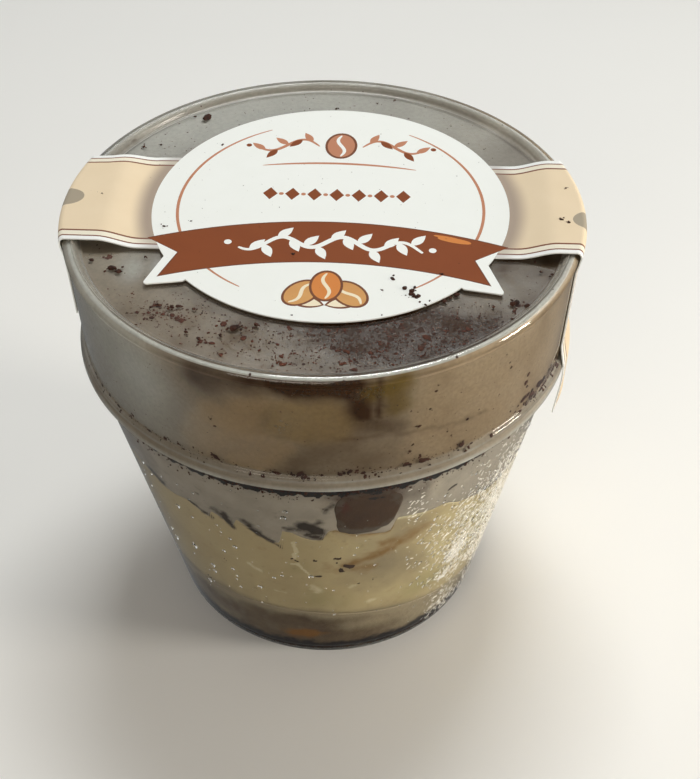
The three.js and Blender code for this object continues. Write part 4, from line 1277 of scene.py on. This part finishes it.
# one rough grain, a millimetre in radius: the twenty faces of an icosahedron, its corners pushed
GOLDEN = (1 + math.sqrt(5)) / 2
NEIGHBOURS = 1.16                 # corners no further apart than this share a face
grain_points = [(0, a, b * GOLDEN) for a in (-1, 1) for b in (-1, 1)]
grain_points += [(a, b * GOLDEN, 0) for a in (-1, 1) for b in (-1, 1)]
grain_points += [(b * GOLDEN, 0, a) for a in (-1, 1) for b in (-1, 1)]
grain_points = [Vector(p).normalized() * (1 + 0.75 * noise.noise(Vector(p) * 1.7)) for p in grain_points]
trios = [(a, b, c) for a in range(12) for b in range(a + 1, 12) for c in range(b + 1, 12)]
grain_faces = []
for trio in trios:
    p, q, r = [grain_points[k] for k in trio]
    sides = [(s.normalized() - t.normalized()).length for s, t in ((p, q), (q, r), (p, r))]
    if max(sides) < NEIGHBOURS:
        outward = (q - p).cross(r - p).dot(p + q + r) > 0
        grain_faces.append(list(trio) if outward else [trio[0], trio[2], trio[1]])
grain = mesh_object("grain_shape", grain_points, grain_faces, smooth=False)

# Cocoa: nearly black where it is moist, red-brown where it is dry, always dull.
moist_cocoa, tree = new_material("moist cocoa crumbs")
food_material(food_tone(tree, "#1f0f07", "#4a2410", 1.5), tree, 0.4, 0.15, 0.8)
dry_cocoa, tree = new_material("dry cocoa grains")
food_material(food_tone(tree, "#351a0e", "#5a2c18", 2.5), tree, 0.4, 0.15, 0.9)

# crumbs on top: place on the lid's plane and size
ON_PANEL = [(-25.4, 35.8, 1.5), (-40.4, 26.6, 0.9), (-41.4, 24.7, 0.55), (-37.6, 24.3, 0.5),
            (-34.1, 25.1, 0.4), (-38.6, -17.2, 1.0), (-37.3, -18.2, 0.8), (-42.7, -14.7, 0.5),
            (-32.9, -13.7, 0.4), (-15.0, -34.3, 1.0), (-11.2, -33.5, 0.7), (-23.3, -35.4, 0.45),
            (-20.9, -37.3, 0.5), (-17.3, -36.2, 0.45), (-22.5, -29.1, 0.45), (-26.4, -28.6, 0.6),
            (-25.4, -28.3, 0.5), (-30.1, -28.6, 0.4), (-29.0, -27.8, 0.4), (34.2, -27.7, 1.0),
            (35.1, -27.3, 0.6), (36.7, -28.2, 0.7), (24.4, -25.1, 0.7), (23.1, -25.9, 0.6),
            (22.0, -26.9, 0.7), (30.6, -28.5, 0.4), (40.2, -18.3, 0.35), (42.2, -19.2, 0.45),
            (39.5, -15.3, 0.35), (2.2, 39.5, 0.5), (-32.2, -33.5, 0.35), (-34.2, -30.2, 0.3),
            (33.7, -31.9, 0.4), (32.0, -32.7, 0.3), (15.0, 43.2, 0.35), (11.2, 41.8, 0.3)]
ON_PAPER = [(16.3, -24.7, 0.95), (16.1, -25.6, 0.6), (17.4, -26.1, 0.55), (13.0, -21.2, 0.5),
            (11.0, -24.4, 0.25), (17.6, -27.8, 0.3), (22.0, -19.7, 0.45), (-30.3, -4.7, 0.4),
            (-25.3, -3.0, 0.3), (-21.3, 24.1, 0.35), (-5.4, -13.6, 0.35), (-5.0, -31.5, 0.25),
            (10.8, -31.5, 0.25), (45.3, -4.7, 0.5), (46.7, -5.7, 0.45), (44.1, -3.7, 0.25),
            (-43.2, 4.1, 0.2), (-34.8, 11.8, 0.22), (47.5, 5.8, 0.3), (18.6, -28.6, 0.3),
            (19.4, -27.4, 0.22)]
CRUMB_SHARE = 0.72                # of the sizes in these lists, since a grain's corners stand out
SPECKS = 420
SPECK_REACH = 46                  # inside the lid's ring


def paper_height(x, y):
    """Top of the sticker over a place on the lid's plane, out on the bands too."""
    cos, sin = math.cos(-STICKER_TURN), math.sin(-STICKER_TURN)
    x, y = x - STICKER_X, y - STICKER_Y
    flat = np.column_stack([x * cos - y * sin, x * sin + y * cos])
    return paper_surface(flat)[0][:, 2] + PAPER


def with_bits(places, spread):
    """Each clump with a few smaller bits broken off round it."""
    clumps = [places]
    for x, y, size in places:
        bits = chance.integers(2, 6)
        away = chance.normal(size=(bits, 2)) * size * spread
        clumps.append(np.column_stack([x + away[:, 0], y + away[:, 1],
                                       size * chance.uniform(0.2, 0.65, bits)]))
    return np.vstack(clumps)


on_panel = with_bits(np.array(ON_PANEL), 0.75)
on_paper = with_bits(np.array(ON_PAPER), 0.9)
specks = chance.uniform(-SPECK_REACH, SPECK_REACH, (SPECKS, 2))
specks = specks[np.hypot(specks[:, 0], specks[:, 1]) < SPECK_REACH]
specks = strewn(specks[:, 0], specks[:, 1], 0.07, 0.16, 4)
on_disc = np.hypot(specks[:, 0] - STICKER_X, specks[:, 1] - STICKER_Y) < DISC_RADIUS - 1
on_band = np.abs(specks[:, 1] - STICKER_Y) < BAND_HALF_WIDTH - 1
on_panel = np.vstack([on_panel, specks[~on_disc & ~on_band]]) * (1, 1, CRUMB_SHARE)
on_paper = np.vstack([on_paper, specks[on_disc | on_band] * (1, 1, 0.6)]) * (1, 1, CRUMB_SHARE)
heights = np.concatenate([np.full(len(on_panel), PANEL_Z), paper_height(on_paper[:, 0], on_paper[:, 1])])
top_bits = np.vstack([on_panel, on_paper])
places = np.column_stack([top_bits[:, :2], heights + 0.25 * top_bits[:, 2]])
up = np.tile([0.0, 0.0, 1.0], (len(places), 1))
crumbs_on_lid = scatter("crumbs_on_lid", grain, moist_cocoa, places, top_bits[:, 2], up, 0.5)
settle(crumbs_on_lid, "cocoa")

# clumps that stuck to the underside of the panel, most of them at the front right, and fine dust
UNDER_PANEL = [(16, -38, 15, 5.5, 90), (6, -41, 16, 3.0, 40), (30, -30, 6, 5, 16),
               (-27, -29.5, 4.0, 2.4, 26), (-10, -38, 14, 5, 14), (0, 0, 30, 30, 26)]
DUST_UNDER_PANEL = [(14, -37, 15, 6, 2600), (-27, -29.5, 5, 3, 300)]
THIN_DUST = 900
UNDER_REACH = 45.8


def heaped(heaps):
    """Drawn places in heaps: (middle x, middle y, half width, half depth, how many)."""
    return np.vstack([chance.normal((x, y), (wide, deep), (count, 2)) for x, y, wide, deep, count in heaps])


under = heaped(UNDER_PANEL)
under = with_bits(strewn(under[:, 0], under[:, 1], 0.14, 0.42, 3), 1.7)
haze = heaped(DUST_UNDER_PANEL)
haze = np.vstack([haze, chance.uniform(-SPECK_REACH, SPECK_REACH, (THIN_DUST, 2))])
under = np.vstack([under, strewn(haze[:, 0], haze[:, 1], 0.05, 0.12, 2)])
under = under[np.hypot(under[:, 0], under[:, 1]) < UNDER_REACH]
places = np.column_stack([under[:, :2], np.full(len(under), PANEL_Z - WALL + 0.12)])
down = np.tile([0.0, 0.0, -1.0], (len(places), 1))
cocoa_under_panel = scatter("cocoa_under_panel", grain, dry_cocoa, places, under[:, 2], down, 0.35)
settle(cocoa_under_panel, "cocoa")

# bits caught between the lid's wall and the cup's collar: degrees round, height, size
IN_SKIRT = [(-4.3, 71.3, 1.1), (-3.6, 70.4, 0.7), (-9.2, 71.0, 0.8), (-5.8, 70.9, 0.5), (-22.9, 72.1, 0.7),
            (-23.6, 72.4, 0.4), (4.0, 71.3, 0.6), (4.9, 71.6, 0.5), (6.1, 71.9, 0.6), (7.6, 72.0, 0.5),
            (18.2, 71.5, 0.8), (19.1, 71.2, 0.6), (22.0, 71.3, 0.8), (23.0, 71.5, 0.5), (31.5, 71.8, 0.8),
            (49.5, 70.6, 0.9), (53.5, 72.5, 1.1), (54.5, 72.1, 1.0), (57.7, 72.4, 0.9), (60.3, 71.1, 1.1),
            (63.9, 72.6, 1.0), (65.5, 70.9, 0.9), (68.5, 69.9, 0.9), (68.2, 71.7, 0.8), (58.6, 70.4, 0.9),
            (62.1, 71.9, 0.8), (50.5, 73.4, 1.1), (52.0, 71.2, 1.0), (55.8, 71.0, 1.1), (56.9, 73.2, 1.0),
            (59.4, 72.6, 1.2), (61.0, 71.0, 1.0), (63.0, 71.5, 1.1), (64.8, 72.0, 1.0), (66.6, 71.2, 1.1),
            (67.6, 72.8, 1.0), (-64, 71.0, 0.8), (-60, 70.5, 0.7), (-56, 71.0, 0.6), (-52, 70.4, 0.7),
            (-47, 71.0, 0.5), (-41, 70.6, 0.6), (-36, 71.2, 0.6), (-31, 70.8, 0.5)]
# and on the inside of the lid's wall
ON_LID_WALL = [(50.5, 77.5, 1.0), (50.9, 79.4, 0.9), (51.1, 76.2, 0.7), (24.0, 88.1, 0.5),
               (24.3, 89.4, 0.35), (32.4, 77.9, 0.55), (27.5, 76.9, 0.4), (28.6, 75.4, 0.4),
               (20.7, 80.5, 0.7), (22.9, 84.1, 0.5), (43.6, 85.2, 0.5), (43.0, 86.8, 0.35),
               (-23.0, 81.6, 0.45), (-22.2, 80.1, 0.45), (35.4, 79.0, 0.3), (18.7, 84.8, 0.3),
               (19.6, 76.2, 0.5), (19.0, 74.6, 0.5), (40.9, 80.0, 0.25), (-72, 84.0, 1.0),
               (-74, 81.0, 1.2), (-73, 78.0, 1.0), (-70, 79.5, 0.7), (-76, 86.0, 0.9)]
FINE = 700                        # fine grains in the skirt, and as many on the wall
IN_SKIRT_RADIUS = 48.6
IN_SKIRT_LOW_Z, IN_SKIRT_HIGH_Z = 68.9, 73.5
WALL_LOW_Z, WALL_HIGH_Z = 72, 92
LID_WALL_RISE = 21.6

skirt = np.vstack([with_bits(np.array(IN_SKIRT) * (1, 1, CRUMB_SHARE), 1.3),
                   strewn(chance.uniform(-180, 180, FINE), chance.normal(70.8, 1.0, FINE), 0.10, 0.3, 4)])
wall = np.vstack([with_bits(np.array(ON_LID_WALL) * (1, 1, 0.5), 1.0),
                  strewn(chance.uniform(-180, 180, FINE), chance.uniform(73, 92, FINE), 0.05, 0.11, 5)])
skirt_places, skirt_outs = round_wall(skirt[:, 0], IN_SKIRT_RADIUS,
                                      np.clip(skirt[:, 1], IN_SKIRT_LOW_Z, IN_SKIRT_HIGH_Z))
wall_radius = (LID_WALL_FOOT_RADIUS - WALL
               + (wall[:, 1] - SKIRT_TOP_Z) * (LID_WALL_TOP_RADIUS - LID_WALL_FOOT_RADIUS) / LID_WALL_RISE)
wall_places, wall_outs = round_wall(wall[:, 0], wall_radius + 0.3,
                                    np.clip(wall[:, 1], WALL_LOW_Z, WALL_HIGH_Z))
crumbs_in_lid = scatter("crumbs_in_lid", grain, moist_cocoa, np.vstack([skirt_places, wall_places]),
                        np.concatenate([skirt[:, 2], wall[:, 2]]), np.vstack([skirt_outs, wall_outs]), 0.22)
settle(crumbs_in_lid, "cocoa")

# the line of powder packed under the skirt, thick at the front left and thin at the right; its dark
# also serves as painted shade in the slot
SLOT_RADIUS, SLOT_Z = 48.62, 67.75
along_line = np.column_stack([48 * np.sin(np.radians(TURNS)), 48 * np.cos(np.radians(TURNS)), TURNS * 0])
bulk = 0.62 + 0.35 * roughness_at(along_line, 3.0, 4.0) + 0.25 * roughness_at(along_line, 0.9, 6.0)
bulk = np.clip(bulk - 0.35 * right_of(TURNS, 38, 8), 0.12, 1.0)
rings = []
for a in np.radians(np.arange(0, 360, 36)):
    radius = SLOT_RADIUS + 0.5 * bulk * math.cos(a)
    z = SLOT_Z - 0.15 * bulk + 0.62 * bulk * math.sin(a)
    rings.append(round_at(TURNS, radius, z))
cocoa_and_shade_line = stitched("cocoa_line_under_skirt", moist_cocoa, rings)
settle(cocoa_and_shade_line, "cocoa")


def on_cone(turn, z, off):
    """Points off the outside of the cup's cone by so much, and the directions straight out."""
    return round_wall(turn, FOOT_RADIUS + CONE_SLOPE * z + off, z)


# loose grains round that line and down the cup's wall, fewer at the right
LOOSE = 3600
LOOSE_TOP_Z = 66.6
turn = chance.uniform(-180, 180, LOOSE)
drop = np.abs(chance.normal(0, 1.1, LOOSE)) ** 1.5
keep = chance.random(LOOSE) < np.where(turn > 40, 0.35, 1.0)
places, outs = on_cone(turn[keep], LOOSE_TOP_Z - drop[keep], 0.03)
sizes = 0.08 + 0.22 * chance.random(keep.sum()) ** 3
loose = scatter("cocoa_below_skirt", grain, moist_cocoa, places, sizes, outs, 0.4)
settle(loose, "cocoa")


# ==== water drops ====
# Condensation beaded on the cold cup: a few bright drops at the left and in front, and a dense
# streaky film of them on the right, where they catch the window; that glare is painted as white streaks.

dome, dome_faces = [], []
for spread, lift in [(1.0, 0.0), (0.9, 0.5), (0.55, 0.85)]:
    dome += [(spread * math.cos(a), spread * math.sin(a), lift) for a in np.linspace(0, 2 * math.pi, 9)[:-1]]
dome += [(0, 0, 1.0), (0, 0, 0.0)]
for k in range(8):
    after = (k + 1) % 8
    dome_faces += [[k, after, 8 + after, 8 + k], [8 + k, 8 + after, 16 + after, 16 + k],
                   [16 + k, 16 + after, 24], [25, after, k]]
drop_shape = mesh_object("drop_shape", dome, dome_faces)

# Water: clear, with the hardest gloss here.
WATER_IOR = 1.333
water, tree = new_material("water drops")
bead = clear_shader(tree, "#fbfdfd", 0.03, WATER_IOR, "#ffffff")
node(tree, "ShaderNodeOutputMaterial", {"Surface": bead})

# bright drops: degrees round, height, size
BRIGHT_DROPS = [(-52.8, 52.8, 0.5), (-50, 51, 0.4), (-41.7, 45.7, 0.6), (-54.0, 29.0, 0.5),
                (-52.8, 26.5, 0.7), (-41.4, 31.2, 0.7), (-35.7, 27.3, 0.6), (-35.9, 24.8, 0.5),
                (-40.8, 18.0, 0.6), (-24.4, 40.5, 0.5), (-28.8, 36.8, 0.4), (-25.3, 43.2, 0.35),
                (-19.6, 26.4, 0.5), (-26.7, 23.3, 0.35), (-14.4, 31.9, 0.4), (-11.9, 33.4, 0.35),
                (-9.2, 56.2, 0.6), (-8.5, 58.5, 0.5), (-27.6, 30.3, 0.4), (-26.9, 27.8, 0.3),
                (-3.6, 34.3, 0.5)]
ALL_ROUND, IN_FILM = 440, 420     # small drops all round the cup, and in the film on the right

few = strewn(chance.uniform(-180, 180, ALL_ROUND), chance.uniform(15, 64, ALL_ROUND), 0.10, 0.2, 3)
many = strewn(chance.normal(43, 10, IN_FILM), chance.normal(34, 12, IN_FILM), 0.10, 0.20, 2)
many = many[(many[:, 1] > 6) & (many[:, 1] < 64) & (many[:, 0] > 22)]
drops = np.vstack([BRIGHT_DROPS, few, many])
single = np.arange(len(drops)) < len(BRIGHT_DROPS) + len(few)     # the film's drops run and slant
places, outs = on_cone(drops[:, 0], drops[:, 1], -0.02)
slope = np.where(single, 0.2, 1.1) + chance.normal(0, 0.35, len(drops))
length = np.where(single, 1.1, chance.uniform(1.0, 3.2, len(drops)))
alongs = np.column_stack([-outs[:, 1], outs[:, 0], slope])
sizes = drops[:, 2:] * np.column_stack([length, np.ones(len(drops)), np.full(len(drops), 0.45)])
drops_on_cup = scatter("drops_on_cup", drop_shape, water, places, sizes, outs, alongs=alongs)
settle(drops_on_cup, "clear_cup")

# painted glare: where the window glares off the wet film, flat white streaks that run round the cup stand in
# for it
glaring, tree = new_material("glare on wet streaks")
place = node(tree, "ShaderNodeTexCoord").outputs["Object"]
streak = node(tree, "ShaderNodeTexNoise", {"Vector": place, "Scale": 900.0, "Detail": 3.0}).outputs["Fac"]
white = node(tree, "ShaderNodeMix", {"Factor": streak, COLOUR_A: linear("#f4ecd8"),
                                     COLOUR_B: linear("#ffffff")}, data_type="RGBA").outputs[MIXED]
surface = node(tree, "ShaderNodeBsdfPrincipled", {"Base Color": white, "Roughness": 0.15,
                                                  "IOR": WATER_IOR})
node(tree, "ShaderNodeOutputMaterial", {"Surface": surface.outputs[0]})
# brightest places: degrees round, height, spread of each, how many
GLARE = [(46, 36, 7, 6, 420), (43, 31, 3, 2.2, 300), (50, 21, 6, 2.5, 200), (40, 21, 3, 1.2, 120),
         (42, 27, 2, 1.2, 120), (43, 9, 3, 3.5, 110), (34, 45, 6, 4, 70), (44, 46, 6, 4, 200),
         (52, 54, 6, 4, 130), (58, 36, 5, 11, 760), (56, 40, 3, 6, 460), (64, 22, 5, 11, 460),
         (40, 60, 3, 3, 12), (31, 38, 4, 5, 30), (23, 56, 1.6, 2.8, 50), (51, 5, 6, 2, 90)]
GLARE_END_TURN, GLARE_FADE = 74, 4
glints = np.vstack([strewn(chance.normal(at, wide, count), chance.normal(up, tall, count), 0.045, 0.085, 2)
                    for at, up, wide, tall, count in GLARE])
fades = chance.random(len(glints)) < 1 / (1 + np.exp((glints[:, 0] - GLARE_END_TURN) / GLARE_FADE))
glints = glints[(glints[:, 1] > 2) & (glints[:, 1] < 65) & (glints[:, 0] > 20) & fades]
places, outs = on_cone(glints[:, 0], glints[:, 1], 0.02)
alongs = np.column_stack([-outs[:, 1], outs[:, 0], chance.normal(0.6, 0.5, len(outs))])
length = chance.uniform(1.0, 8.0, len(glints))
sizes = glints[:, 2:] * np.column_stack([length, np.ones(len(glints)), np.full(len(glints), 0.3)])
glare = scatter("glare_on_cup", drop_shape, glaring, places, sizes, outs, alongs=alongs)
settle(glare, "clear_cup")
for shape_object in (grain, drop_shape):
    bpy.data.objects.remove(shape_object)
